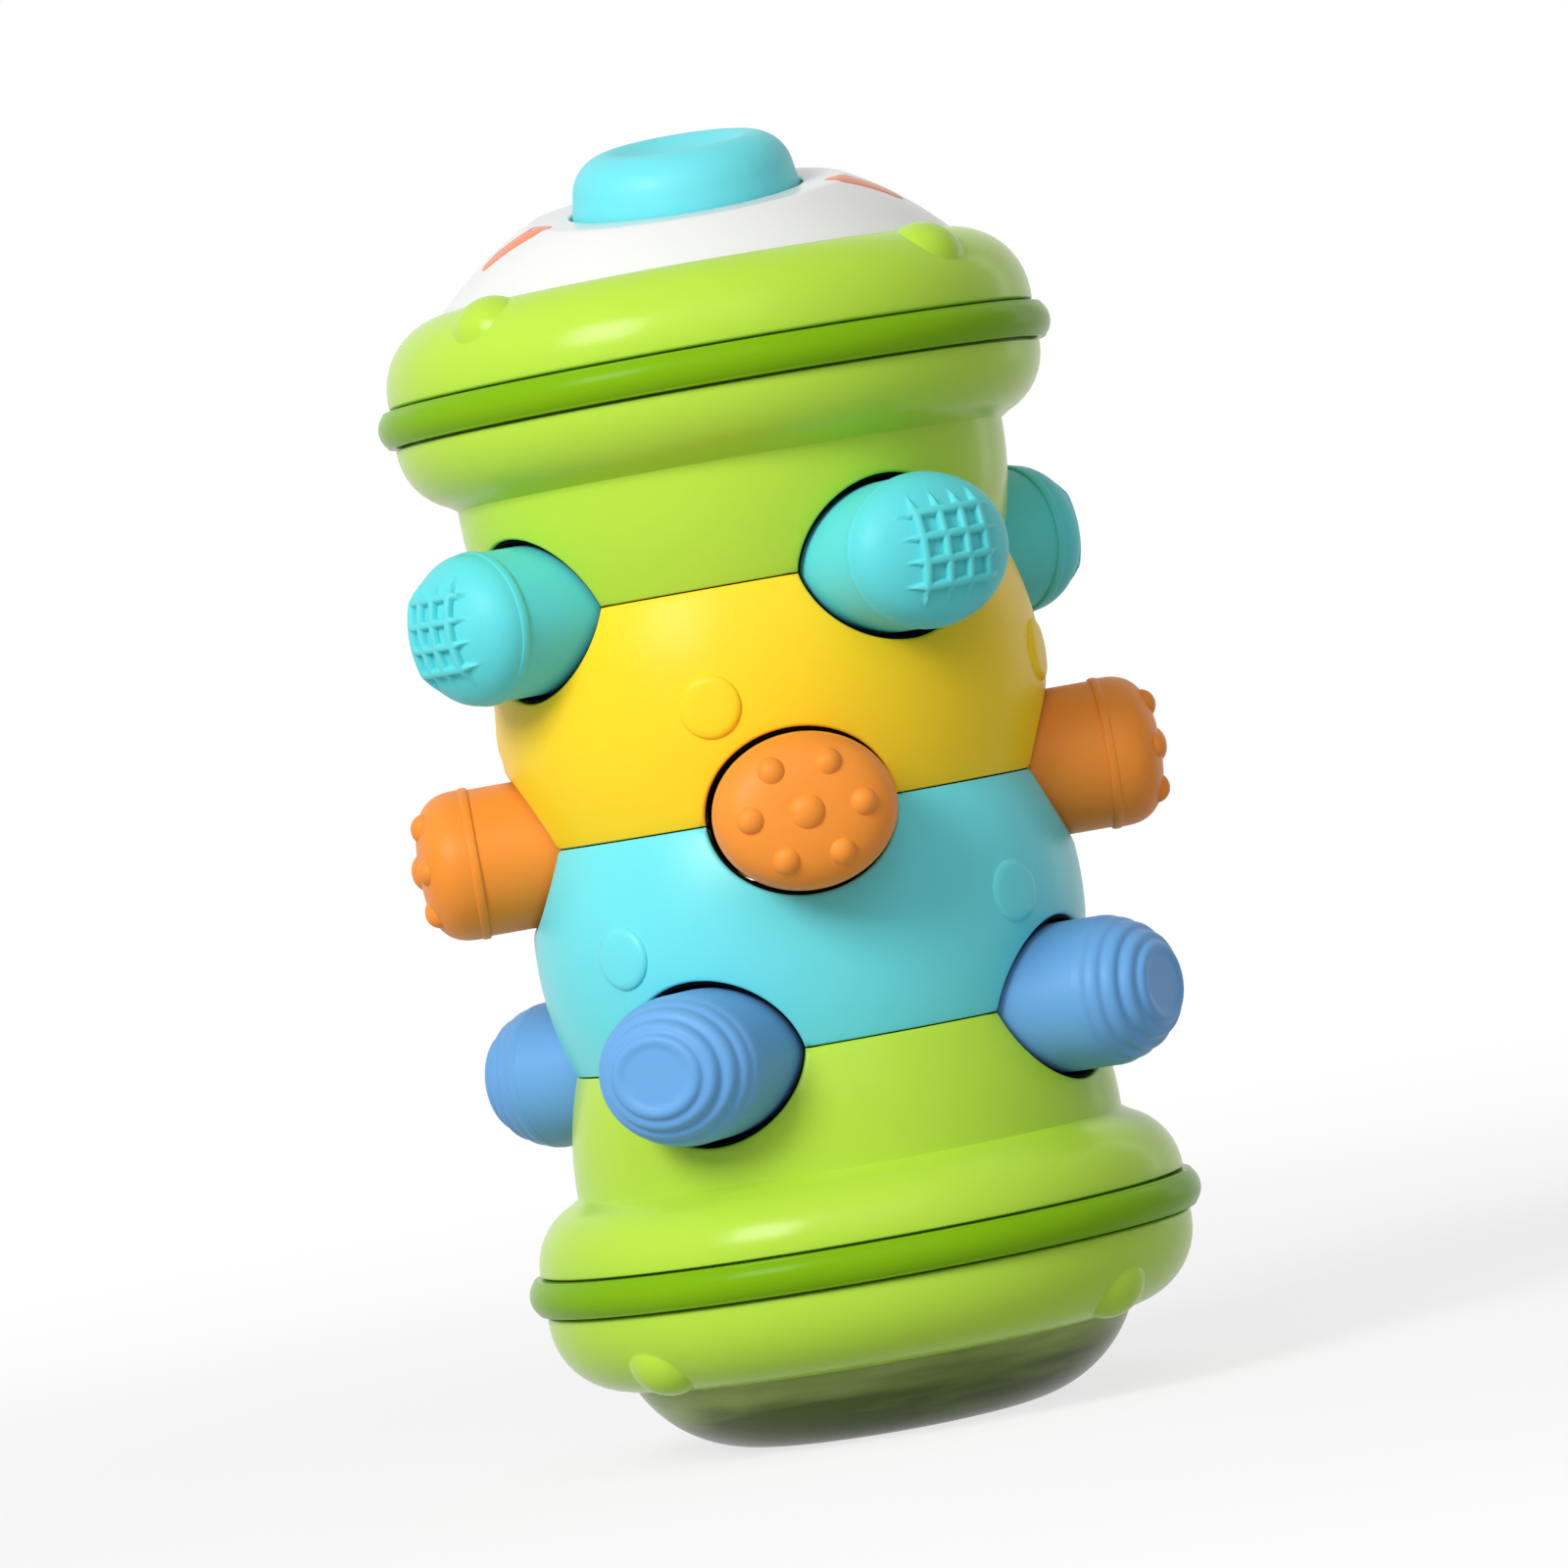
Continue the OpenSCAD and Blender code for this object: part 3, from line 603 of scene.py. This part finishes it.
# Soft caps: rubber ends with a plug that is pressed into the sleeve, each row with its own texture.
# Teal caps are full round with a woven grid, orange ones flatter with nubs, blue ones step in like terraces.
soft = {
    row: moulded(f"{row}_soft_rubber", *tones, roughness=0.45, shine=0.22, grain=0.07, grain_size=2200)
    for row, tones in SLEEVES.items()
}
cap_tip = 57.5 * MM
cap_rise = cap_tip - sleeve_high
plug_depth = 5 * MM
plug_size = sleeve_in - 0.05 * MM / peg_half_w
bead_half = 0.7 * MM
bead_proud = 0.22 * MM
cap_foot = [(1 + bead_proud / peg_half_w * math.cos(t), sleeve_high + bead_half * (1 + math.sin(t)))
            for t in np.linspace(math.pi / 2, -math.pi / 2, 13)]
cap_plug = [(plug_size, sleeve_high), (plug_size, sleeve_high - plug_depth), (0, sleeve_high - plug_depth)]


def crown(power):
    """Rounded end of a cap from its tip to its foot, fuller with a higher power."""
    turns = np.linspace(math.pi / 2, 0, 49)
    low = sleeve_high + 2 * bead_half
    return [(math.cos(t) ** (2 / power), low + (cap_tip - low) * math.sin(t) ** (2 / power)) for t in turns]


fine_gap = 0.05


def textured_cap(name, row, k, outline, lift, extra):
    """Cap whose crown rises by lift(x, y), with extra points of its plan where the texture is fine."""
    size, height = np.array(outline).T
    along = np.concatenate([[0], np.cumsum(np.hypot(np.diff(size) * peg_half_w, np.diff(height)))])
    along /= along[-1]
    spokes, rings = 96, np.linspace(0, 1, 27)[1:]
    plan = [(0.0, 0.0)] + [(u * math.cos(t), u * math.sin(t)) for u in rings
                           for t in np.linspace(0, 2 * math.pi, spokes, endpoint=False)]
    x, y = np.array(extra).T
    reach = np.hypot(x / peg_half_w, y / peg_half_h)
    share = np.interp(reach, size, along) / np.maximum(reach, 1e-9)
    fine = np.stack([share * x / peg_half_w, share * y / peg_half_h], axis=1)
    plan = [p for p in plan if math.hypot(*p) > 0.98 or np.hypot(*(fine - p).T).min() > fine_gap]
    plan += fine.tolist()
    flat, _, triangles, _, _, _ = delaunay_2d_cdt([Vector(p) for p in plan], [], [], 0, 1e-7, False)
    flat = np.array([tuple(p) for p in flat])
    u = np.hypot(*flat.T)
    scale = np.interp(u, along, size) / np.maximum(u, 1e-9)
    x, y, z = scale * flat[:, 0] * peg_half_w, scale * flat[:, 1] * peg_half_h, np.interp(u, along, height)
    normal = np.stack([x / peg_half_w ** 2, y / peg_half_h ** 2, (z - sleeve_high) / cap_rise ** 2], axis=1)
    normal /= np.linalg.norm(normal, axis=1)[:, None]
    verts = np.stack([x, y, z], axis=1) + normal * lift(x, y)[:, None]

    place = peg_place(row, k)
    verts = [place @ Vector(v) for v in verts]
    faces = list(triangles)
    edge = np.flatnonzero(u > 1 - 1e-6)
    last = edge[np.argsort(np.arctan2(flat[edge, 1], flat[edge, 0]))].tolist()
    bend = np.arctan2(flat[last, 1], flat[last, 0])
    for scale, level in cap_foot[1:] + cap_plug[:-1]:
        ring = range(len(verts), len(verts) + len(last))
        wide, high = scale * peg_half_w, scale * peg_half_h
        verts += [place @ Vector((wide * math.cos(t), high * math.sin(t), level)) for t in bend]
        faces += [(last[i - 1], last[i], ring[i], ring[i - 1]) for i in range(len(last))]
        last = ring
    faces.append(tuple(last))
    return finished(name, verts, faces, crisp=50)


weave_pitch = 3.5 * MM
weave_lines = (np.arange(4) - 1.5) * weave_pitch
weave_half = 0.7 * MM
weave_flank = 0.45 * MM
weave_proud = 1.1 * MM
weave_full = 5.4 * MM
weave_end = 8.8 * MM


def woven(x, y):
    """Grid of rounded ridges that run out to points."""
    rise = np.zeros(len(x))
    for across, run in ((x, y), (y, x)):
        taper = np.clip((weave_end - np.abs(run)) / (weave_end - weave_full), 0, 1)
        for line in weave_lines:
            share = np.clip((weave_half * taper - np.abs(across - line)) / weave_flank, 0, 1)
            rise = np.maximum(rise, weave_proud * taper * np.sqrt(1 - (1 - share) ** 2))
    return rise


nub_ring_w = 8.5 * MM
nub_ring_h = 7.8 * MM
middle_nub = 3.5 * MM
outer_nub = 2.3 * MM
nub_proud = 1.2 * MM
SIX = np.radians(np.arange(0, 360, 60))
NUBS = [((0, 0), middle_nub)]
NUBS += [((nub_ring_w * math.cos(t), nub_ring_h * math.sin(t)), outer_nub) for t in SIX]


def nubbed(x, y):
    """Round nubs, a larger one in the middle of a ring of six."""
    rise = np.zeros(len(x))
    for (at_x, at_y), ball in NUBS:
        out = np.hypot(x - at_x, y - at_y)
        rise = np.maximum(rise, np.sqrt(np.maximum(ball ** 2 - out ** 2, 0)) - (ball - nub_proud))
    return rise


def nub_points():
    """Rings of points over each nub and just outside it."""
    points = []
    for (at_x, at_y), ball in NUBS:
        foot = math.sqrt(ball ** 2 - (ball - nub_proud) ** 2)
        points.append((at_x, at_y))
        for share in (0.3, 0.55, 0.75, 0.88, 0.96, 1.0, 1.06, 1.25):
            points += [(at_x + share * foot * math.cos(t), at_y + share * foot * math.sin(t))
                       for t in np.linspace(0, 2 * math.pi, 24, endpoint=False)]
    return points


ridge_steps = np.array([-1.06, -1, -0.95, -0.85, -0.7, -0.5, 0, 0.5, 0.7, 0.85, 0.95, 1, 1.06]) * weave_half
ridge_grid = (weave_lines[:, None] + ridge_steps).ravel()
weave_ends = np.arange(6.4, 9.4, 0.6) * MM
weave_grid = np.concatenate([ridge_grid, weave_lines[:-1] + weave_pitch / 2, weave_ends, -weave_ends])
weave_reach = 10.2 * MM
weave_points = [(x, y) for x in weave_grid for y in weave_grid if math.hypot(x, y) < weave_reach]
STEPS = ((0.71, 0.87), (0.85, 0.66), (0.935, 0.42), (0.98, 0.2))
disc_size = 0.55
disc_sunk = 0.35 * MM
disc_lip = 0.13
disc_slope = 0.04
lip_round = 0.1 * MM
step_hollow = 0.4 * MM
step_round = 1.2 * MM
step_soft = 0.4 * MM


def terrace():
    """Outline of a blue cap: a flat disc with a soft lip, then rounded steps that widen down to the foot."""
    sunk = cap_tip - disc_sunk
    lip_size = disc_size - disc_lip
    points = [(0, sunk), (lip_size - disc_slope, sunk), (lip_size, cap_tip - lip_round)]
    size, top, tread = disc_size, cap_tip, disc_lip
    turns = np.linspace(0, math.pi / 2, 8)
    for wider, share in (*STEPS, (1, 0)):
        level = sleeve_high + cap_rise * share
        wide, high = min(step_round / peg_half_w, 0.8 * tread), min(1.3 * step_round, 0.75 * (top - level))
        points += [(size + wide * (math.sin(t) - 1), top + high * (math.cos(t) - 1)) for t in turns]
        tread = wider - size
        hollow = min(step_hollow, 0.2 * tread * peg_half_w)
        wide = hollow / peg_half_w
        points += [(size + wide * (1 - math.cos(t)), level + hollow * (1 - math.sin(t))) for t in turns]
        size, top = wider, level
    size, height = np.array(points).T
    along = np.concatenate([[0], np.cumsum(np.hypot(np.diff(size) * peg_half_w, np.diff(height)))])
    dense = np.linspace(-3 * step_soft, along[-1] + 3 * step_soft, 181)
    weight = np.exp(-0.5 * ((dense[:, None] - dense) / step_soft) ** 2)
    weight /= weight.sum(axis=1)[:, None]
    soft_size, soft_height = (weight @ np.interp(dense, along, a) for a in (size, height))
    inside = (dense > 0) & (dense < along[-1])
    return [points[0], *zip(soft_size[inside], soft_height[inside]), points[-1]]


for row in ROWS:
    for k in PEGS:
        name = f"{row}_soft_cap_{k + 1}"
        if row == "teal":
            cap = textured_cap(name, row, k, crown(2.0), woven, weave_points)
        elif row == "orange":
            cap = textured_cap(name, row, k, crown(2.8), nubbed, nub_points())
        else:
            cap = turned(name, terrace() + cap_plug, peg_place(row, k), peg_half_w, peg_half_h, 128, 50)
        fitted(cap, pair_of(row, k), f"{row}_soft_cap", soft[row], f"{row}_cap_{k + 1}")

# Upper neck: the same light green collar as the lower one, turned over, at the top of the yellow shell.
# The squeaker sits on its deck, and the upper rim band lies on its flange.
ring_high = middle("top_band").z
neck_shell("upper_neck_shell", "teal", ring_high, "upper_neck")

# Squeaker: a folded rubber bellows over a whistle plug, hidden under the button.
# The bellows is blow moulded in soft white rubber. The button presses its folds together, and they lift it.
dome_z = ring_high - 20.3 * MM
dome_lean = math.radians(10)
leaning = Matrix.Translation((0, 0, dome_z)) @ Matrix.Rotation(dome_lean, 4, "X")
flat_h = 48 * MM
button_roof = flat_h + 4.3 * MM
bellows_r = 11 * MM
bellows_dip = 2.4 * MM
bellows_folds = 4
bellows_wall = 1 * MM
bellows_hole = 3 * MM
bellows_h = 20 * MM
press_gap = 0.1 * MM
bellows_low = button_roof - press_gap - bellows_h
rubber = moulded("soft_white_rubber", (238, 238, 233), (228, 228, 222), roughness=0.6, grain=0.1)
grey = moulded("grey_moulded_plastic", (168, 170, 174), (158, 160, 165), roughness=0.45)
finish_node("squeaker_reed", grey)
rise = np.linspace(0, 1, 81)
folds = bellows_r - bellows_dip * (0.5 + 0.5 * np.cos(2 * math.pi * bellows_folds * rise))
level = bellows_low + bellows_h * rise
floor_z, roof_z = bellows_low + bellows_wall, bellows_low + bellows_h - bellows_wall
inside = [(r - bellows_wall, z) for r, z in zip(folds, level) if floor_z <= z <= roof_z]
bellows_outline = (
    [(bellows_hole, bellows_low), *zip(folds, level), (0, bellows_low + bellows_h), (0, roof_z)]
    + inside[::-1]
    + [(bellows_hole, floor_z)]
)
bellows = turned("rubber_bellows", bellows_outline, leaning, sides=96)
fitted(bellows, "body", "white_rubber", rubber, "squeaker_bellows")
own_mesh(bellows)

# White dome: a glossy white cap whose flat top leans to the front, under the green top cover.
# Its skirt is clamped by the cover, and the button comes up through the hole in the flat.
dome_r = 53.7 * MM
flat_round = 2.5 * MM
button_r = 17.5 * MM
button_gap = 0.5 * MM
hole_round = 0.5 * MM
white = moulded("gloss_white_plastic", (233, 234, 231), (229, 230, 227), shine=0.2)
skirt_polar = 54
blend_polar = 34
inside_polar = 24
round_x = math.sqrt((dome_r - flat_round) ** 2 - (flat_h - flat_round) ** 2)


def dome_height(reach):
    """Height of the dome's skin in the leaning frame, at a distance from its axis."""
    if reach < round_x:
        return flat_h
    if reach < dome_r * round_x / (dome_r - flat_round):
        return flat_h - flat_round + math.sqrt(flat_round ** 2 - (reach - round_x) ** 2)
    return math.sqrt(dome_r ** 2 - reach ** 2)


def dome_point(turn, radius, height):
    """Point of the leaning frame, given round its axis."""
    return leaning @ Vector((radius * math.sin(turn), -radius * math.cos(turn), height))


def outward(turn, polar):
    """Direction at a turn round an axis and an angle in degrees from it."""
    reach, height = math.sin(math.radians(polar)), math.cos(math.radians(polar))
    return Vector((math.sin(turn) * reach, -math.cos(turn) * reach, height))


def dome_ring(turn, share, radius):
    """Point of the sphere between a leaning circle and the level edge of the skirt."""
    upper = leaning.to_3x3() @ outward(turn, blend_polar)
    return upper.slerp(outward(turn, skirt_polar), share) * radius + Vector((0, 0, dome_z))


def dome_shell(name, wall=2.2 * MM, sides=192):
    """Closed mesh of the dome: its flat with the button's hole, its round side, its skirt and its inside."""
    shoulder = math.degrees(math.asin((flat_h - flat_round) / (dome_r - flat_round)))
    hole = button_r + button_gap
    flat = arc(hole + hole_round, flat_h - hole_round, hole_round, 180, 90, 6)
    flat += arc(round_x, flat_h - flat_round, flat_round, 90, shoulder, 10)
    flat += arc(0, 0, dome_r, shoulder, 90 - blend_polar, 8)[1:]
    shares = np.linspace(0, 1, 14)[1:]
    inner_flat = arc(0, 0, dome_r - wall, 90 - blend_polar, 90 - inside_polar, 6)[1:]
    inner_flat += [(hole, flat_h - wall)]
    rows = [lambda t, p=p: dome_point(t, *p) for p in flat]
    rows += [lambda t, s=s: dome_ring(t, s, dome_r) for s in shares]
    rows += [lambda t, s=s: dome_ring(t, s, dome_r - wall) for s in shares[::-1]]
    rows += [lambda t, p=p: dome_point(t, *p) for p in inner_flat]
    around = np.linspace(0, 2 * math.pi, sides, endpoint=False)
    verts = [row(t) for row in rows for t in around]
    faces = []
    for i in range(len(rows)):
        faces += band_between(i * sides, (i + 1) % len(rows) * sides, sides)
    return finished(name, verts, faces)


fitted(dome_shell("white_dome_shell"), "body", "white_dome", white, "top_dome")

# Coral marks: two bands left and right of the button, of the same gloss plastic in another colour.
# They are moulded first, and the dome is moulded round them, so that they lie almost flush in its side.
coral = moulded("coral_inlay_plastic", (240, 138, 96), (234, 130, 88))
mark_in = Vector((23.2, -6.4)) * MM
mark_out = Vector((30.2, -2.6)) * MM
mark_half = 2.3 * MM
STRAIGHT = np.linspace(0, 1, 12)[1:-1]
MARK_SKIN = ((0, -0.8), (1, -0.8), (1, -0.1), (0.985, 0.03), (0.95, 0.08), (0.85, 0.11), (0, 0.12))


def coral_bands(name, bend=13):
    """Two bands with round ends in the dome's skin, each a stack of loops from its underside to its top."""
    verts, faces = [], []
    for side in (-1, 1):
        start, end = (Vector((side * p.x, p.y)) for p in (mark_in, mark_out))
        run = (end - start).normalized()
        across = Vector((-run.y, run.x))
        first = len(verts)
        for share, proud in MARK_SKIN:
            loop = []
            reach = share * mark_half
            for centre, far_end, way in ((start, end, -1), (end, start, 1)):
                turns = np.linspace(-math.pi / 2, math.pi / 2, bend)
                rounded = [centre + way * reach * (run * math.cos(t) + across * math.sin(t)) for t in turns]
                loop += rounded + [rounded[-1].lerp(rounded[-1] + far_end - centre, t) for t in STRAIGHT]
            for p in loop:
                skin = Vector((p.x, p.y, dome_height(p.length)))
                verts.append(leaning @ (skin * (1 + proud * MM / dome_r)))
        count = 2 * (bend + len(STRAIGHT))
        for i in range(len(MARK_SKIN) - 1):
            faces += band_between(first + i * count, first + (i + 1) * count, count)
    return finished(name, verts, faces)


fitted(coral_bands("coral_bands"), "body", "coral_mark", coral, "dome_marks")

# Top cover: the same light green end cap as the bottom one, with the same four bumps on its shoulder.
# It snaps over the upper neck, clamps the upper rim band and holds the skirt of the white dome.
end_cover("top_end_cover", ring_high, 1, 82, 54, "top_cover")

# Button: a dished teal button on the flat of the dome, moulded in satin plastic.
# Its collar keeps it under the flat, and the bellows inside pushes it up.
button_h = 8.7 * MM
button_round = 6.4 * MM
button_draft = 0.5 * MM
dish_r = 10.6 * MM
dish_h = 2.2 * MM
button_foot = flat_h - 4.3 * MM
button_in_r = 12 * MM
collar_r = button_r + 2.2 * MM
collar_top = flat_h - 2.3 * MM
button_top = flat_h + button_h
satin_teal = moulded("teal_button_satin", (112, 223, 231), (106, 217, 225), 0.45, 0.25, grain=0.05)
dish_curve = (dish_r ** 2 + dish_h ** 2) / (2 * dish_h)
lip = math.degrees(math.asin(dish_r / dish_curve))
button_outline = (
    [(0, button_roof), (button_in_r, button_roof), (button_in_r, button_foot), (collar_r, button_foot)]
    + [(collar_r, collar_top), (button_r, collar_top), (button_r, flat_h)]
    + arc(button_r - button_draft - button_round, button_top - button_round, button_round, 8, 86, 20)
    + arc(0, button_top - dish_h + dish_curve, dish_curve, -90 + lip * 0.95, -90, 14)[:-1]
    + [(0, button_top - dish_h)]
)
fitted(turned("dished_button", button_outline, leaning), "button", "teal_button", satin_teal, "button")

# Floor: a plain pale sheet that the toy stands on, and a white surround.
# Both look white to the camera and in reflections, and the floor keeps a soft shadow.
def seen_rays(nodes, links):
    """One for rays of the camera, of reflections and of see-through pieces, nought for light."""
    rays = nodes.new("ShaderNodeLightPath")
    first = nodes.new("ShaderNodeMath")
    first.operation = "MAXIMUM"
    links.new(rays.outputs["Is Camera Ray"], first.inputs[0])
    links.new(rays.outputs["Is Glossy Ray"], first.inputs[1])
    both = nodes.new("ShaderNodeMath")
    both.operation = "MAXIMUM"
    links.new(first.outputs[0], both.inputs[0])
    links.new(rays.outputs["Is Transmission Ray"], both.inputs[1])
    return both.outputs[0]


floor_half = 6.0
floor = finished("floor", [(-floor_half, -floor_half, 0), (floor_half, -floor_half, 0),
                           (floor_half, floor_half, 0), (-floor_half, floor_half, 0)], [(0, 1, 2, 3)])
pale = bpy.data.materials.new("pale_floor")
pale.use_nodes = True
pale_nodes, pale_links = pale.node_tree.nodes, pale.node_tree.links
pale_nodes.remove(pale_nodes["Principled BSDF"])
matt = pale_nodes.new("ShaderNodeBsdfDiffuse")
matt.inputs["Color"].default_value = (0.55, 0.55, 0.55, 1)
spot = pale_nodes.new("ShaderNodeTexCoord")
away = pale_nodes.new("ShaderNodeVectorMath")
away.operation = "LENGTH"
pale_links.new(spot.outputs["Object"], away.inputs[0])


def faded(near, far):
    """Value that goes from near the toy to far away over the floor."""
    ease = pale_nodes.new("ShaderNodeMapRange")
    ease.interpolation_type = "SMOOTHSTEP"
    ease.inputs["From Min"].default_value = 0.15
    ease.inputs["From Max"].default_value = 0.9
    ease.inputs["To Min"].default_value = near
    ease.inputs["To Max"].default_value = far
    pale_links.new(away.outputs["Value"], ease.inputs["Value"])
    return ease.outputs["Result"]


glow = pale_nodes.new("ShaderNodeEmission")
pale_links.new(faded(1.25, 1.0), glow.inputs["Strength"])
share = pale_nodes.new("ShaderNodeMath")
share.operation = "MULTIPLY"
pale_links.new(faded(0.6, 1.0), share.inputs[0])
pale_links.new(seen_rays(pale_nodes, pale_links), share.inputs[1])
blend = pale_nodes.new("ShaderNodeMixShader")
pale_links.new(share.outputs[0], blend.inputs["Fac"])
pale_links.new(matt.outputs["BSDF"], blend.inputs[1])
pale_links.new(glow.outputs["Emission"], blend.inputs[2])
pale_links.new(blend.outputs["Shader"], pale_nodes["Material Output"].inputs["Surface"])
floor.data.materials.append(pale)

world = bpy.data.worlds.new("white_studio")
bpy.context.scene.world = world
world.use_nodes = True
sky_nodes, sky_links = world.node_tree.nodes, world.node_tree.links
fill = sky_nodes["Background"]
fill.inputs["Color"].default_value = (1, 1, 1, 1)
fill.inputs["Strength"].default_value = 0.33
surround = sky_nodes.new("ShaderNodeBackground")
surround.inputs["Color"].default_value = (1, 1, 1, 1)
surround.inputs["Strength"].default_value = 1.0
sky = sky_nodes.new("ShaderNodeMixShader")
sky_links.new(seen_rays(sky_nodes, sky_links), sky.inputs["Fac"])
sky_links.new(fill.outputs["Background"], sky.inputs[1])
sky_links.new(surround.outputs["Background"], sky.inputs[2])
sky_links.new(sky.outputs["Shader"], sky_nodes["World Output"].inputs["Surface"])

# Studio lights: a softbox at the upper left, and a weaker and larger one straight in front.
# A narrow strip behind on the right draws a thin pale line along the edges, and the surround fills weakly.
body_mid = Vector((0, 0, row_z["orange"]))


def softbox(name, place, width, height, power):
    """Oblong lamp that faces the middle of the body."""
    lamp = bpy.data.lights.new(name, "AREA")
    lamp.shape = "RECTANGLE"
    lamp.size = width
    lamp.size_y = height
    lamp.energy = power
    stand = bpy.data.objects.new(name, lamp)
    stand.location = place
    stand.rotation_euler = (body_mid - Vector(place)).to_track_quat("-Z", "Y").to_euler()
    bpy.context.scene.collection.objects.link(stand)


softbox("key_softbox", (-0.9, -1.05, 0.95), 0.6, 0.6, 19.6)
softbox("front_softbox", (0.05, -1.1, 0.9), 0.9, 0.9, 3.2)
softbox("rim_strip", (0.8, 0.62, 0.25), 0.08, 0.8, 0.35)

# Camera: a long lens in front of the toy and a little above its middle.
# It is turned about its own axis, so that the toy leans to the left in the picture.
eye_turn = math.radians(-2.5)
eye_far = 1.347
eye_z = 0.115
look_z = 0.0989
look_left = 0.24 * MM
view_angle = math.radians(10.18)
roll = math.radians(9.9)
eye = Vector((math.sin(eye_turn) * eye_far, -math.cos(eye_turn) * eye_far, eye_z))
ahead = (Vector((0, 0, look_z)) - eye).normalized()
right = ahead.cross(Vector((0, 0, 1))).normalized()
ahead = (Vector((0, 0, look_z)) - right * look_left - eye).normalized()
right = ahead.cross(Vector((0, 0, 1))).normalized()
above = right.cross(ahead)
camera_data = bpy.data.cameras.new("photo_camera")
camera_data.sensor_fit = "HORIZONTAL"
camera_data.angle = view_angle
camera_data.clip_start = 0.05
camera_data.clip_end = 50
camera = bpy.data.objects.new("photo_camera", camera_data)
image_right = math.cos(roll) * right - math.sin(roll) * above
image_up = math.sin(roll) * right + math.cos(roll) * above
camera.matrix_world = Matrix((
    (image_right.x, image_up.x, -ahead.x, eye.x),
    (image_right.y, image_up.y, -ahead.y, eye.y),
    (image_right.z, image_up.z, -ahead.z, eye.z),
    (0, 0, 0, 1),
))
bpy.context.scene.collection.objects.link(camera)
bpy.context.scene.camera = camera
bpy.context.scene.view_settings.view_transform = "Standard"
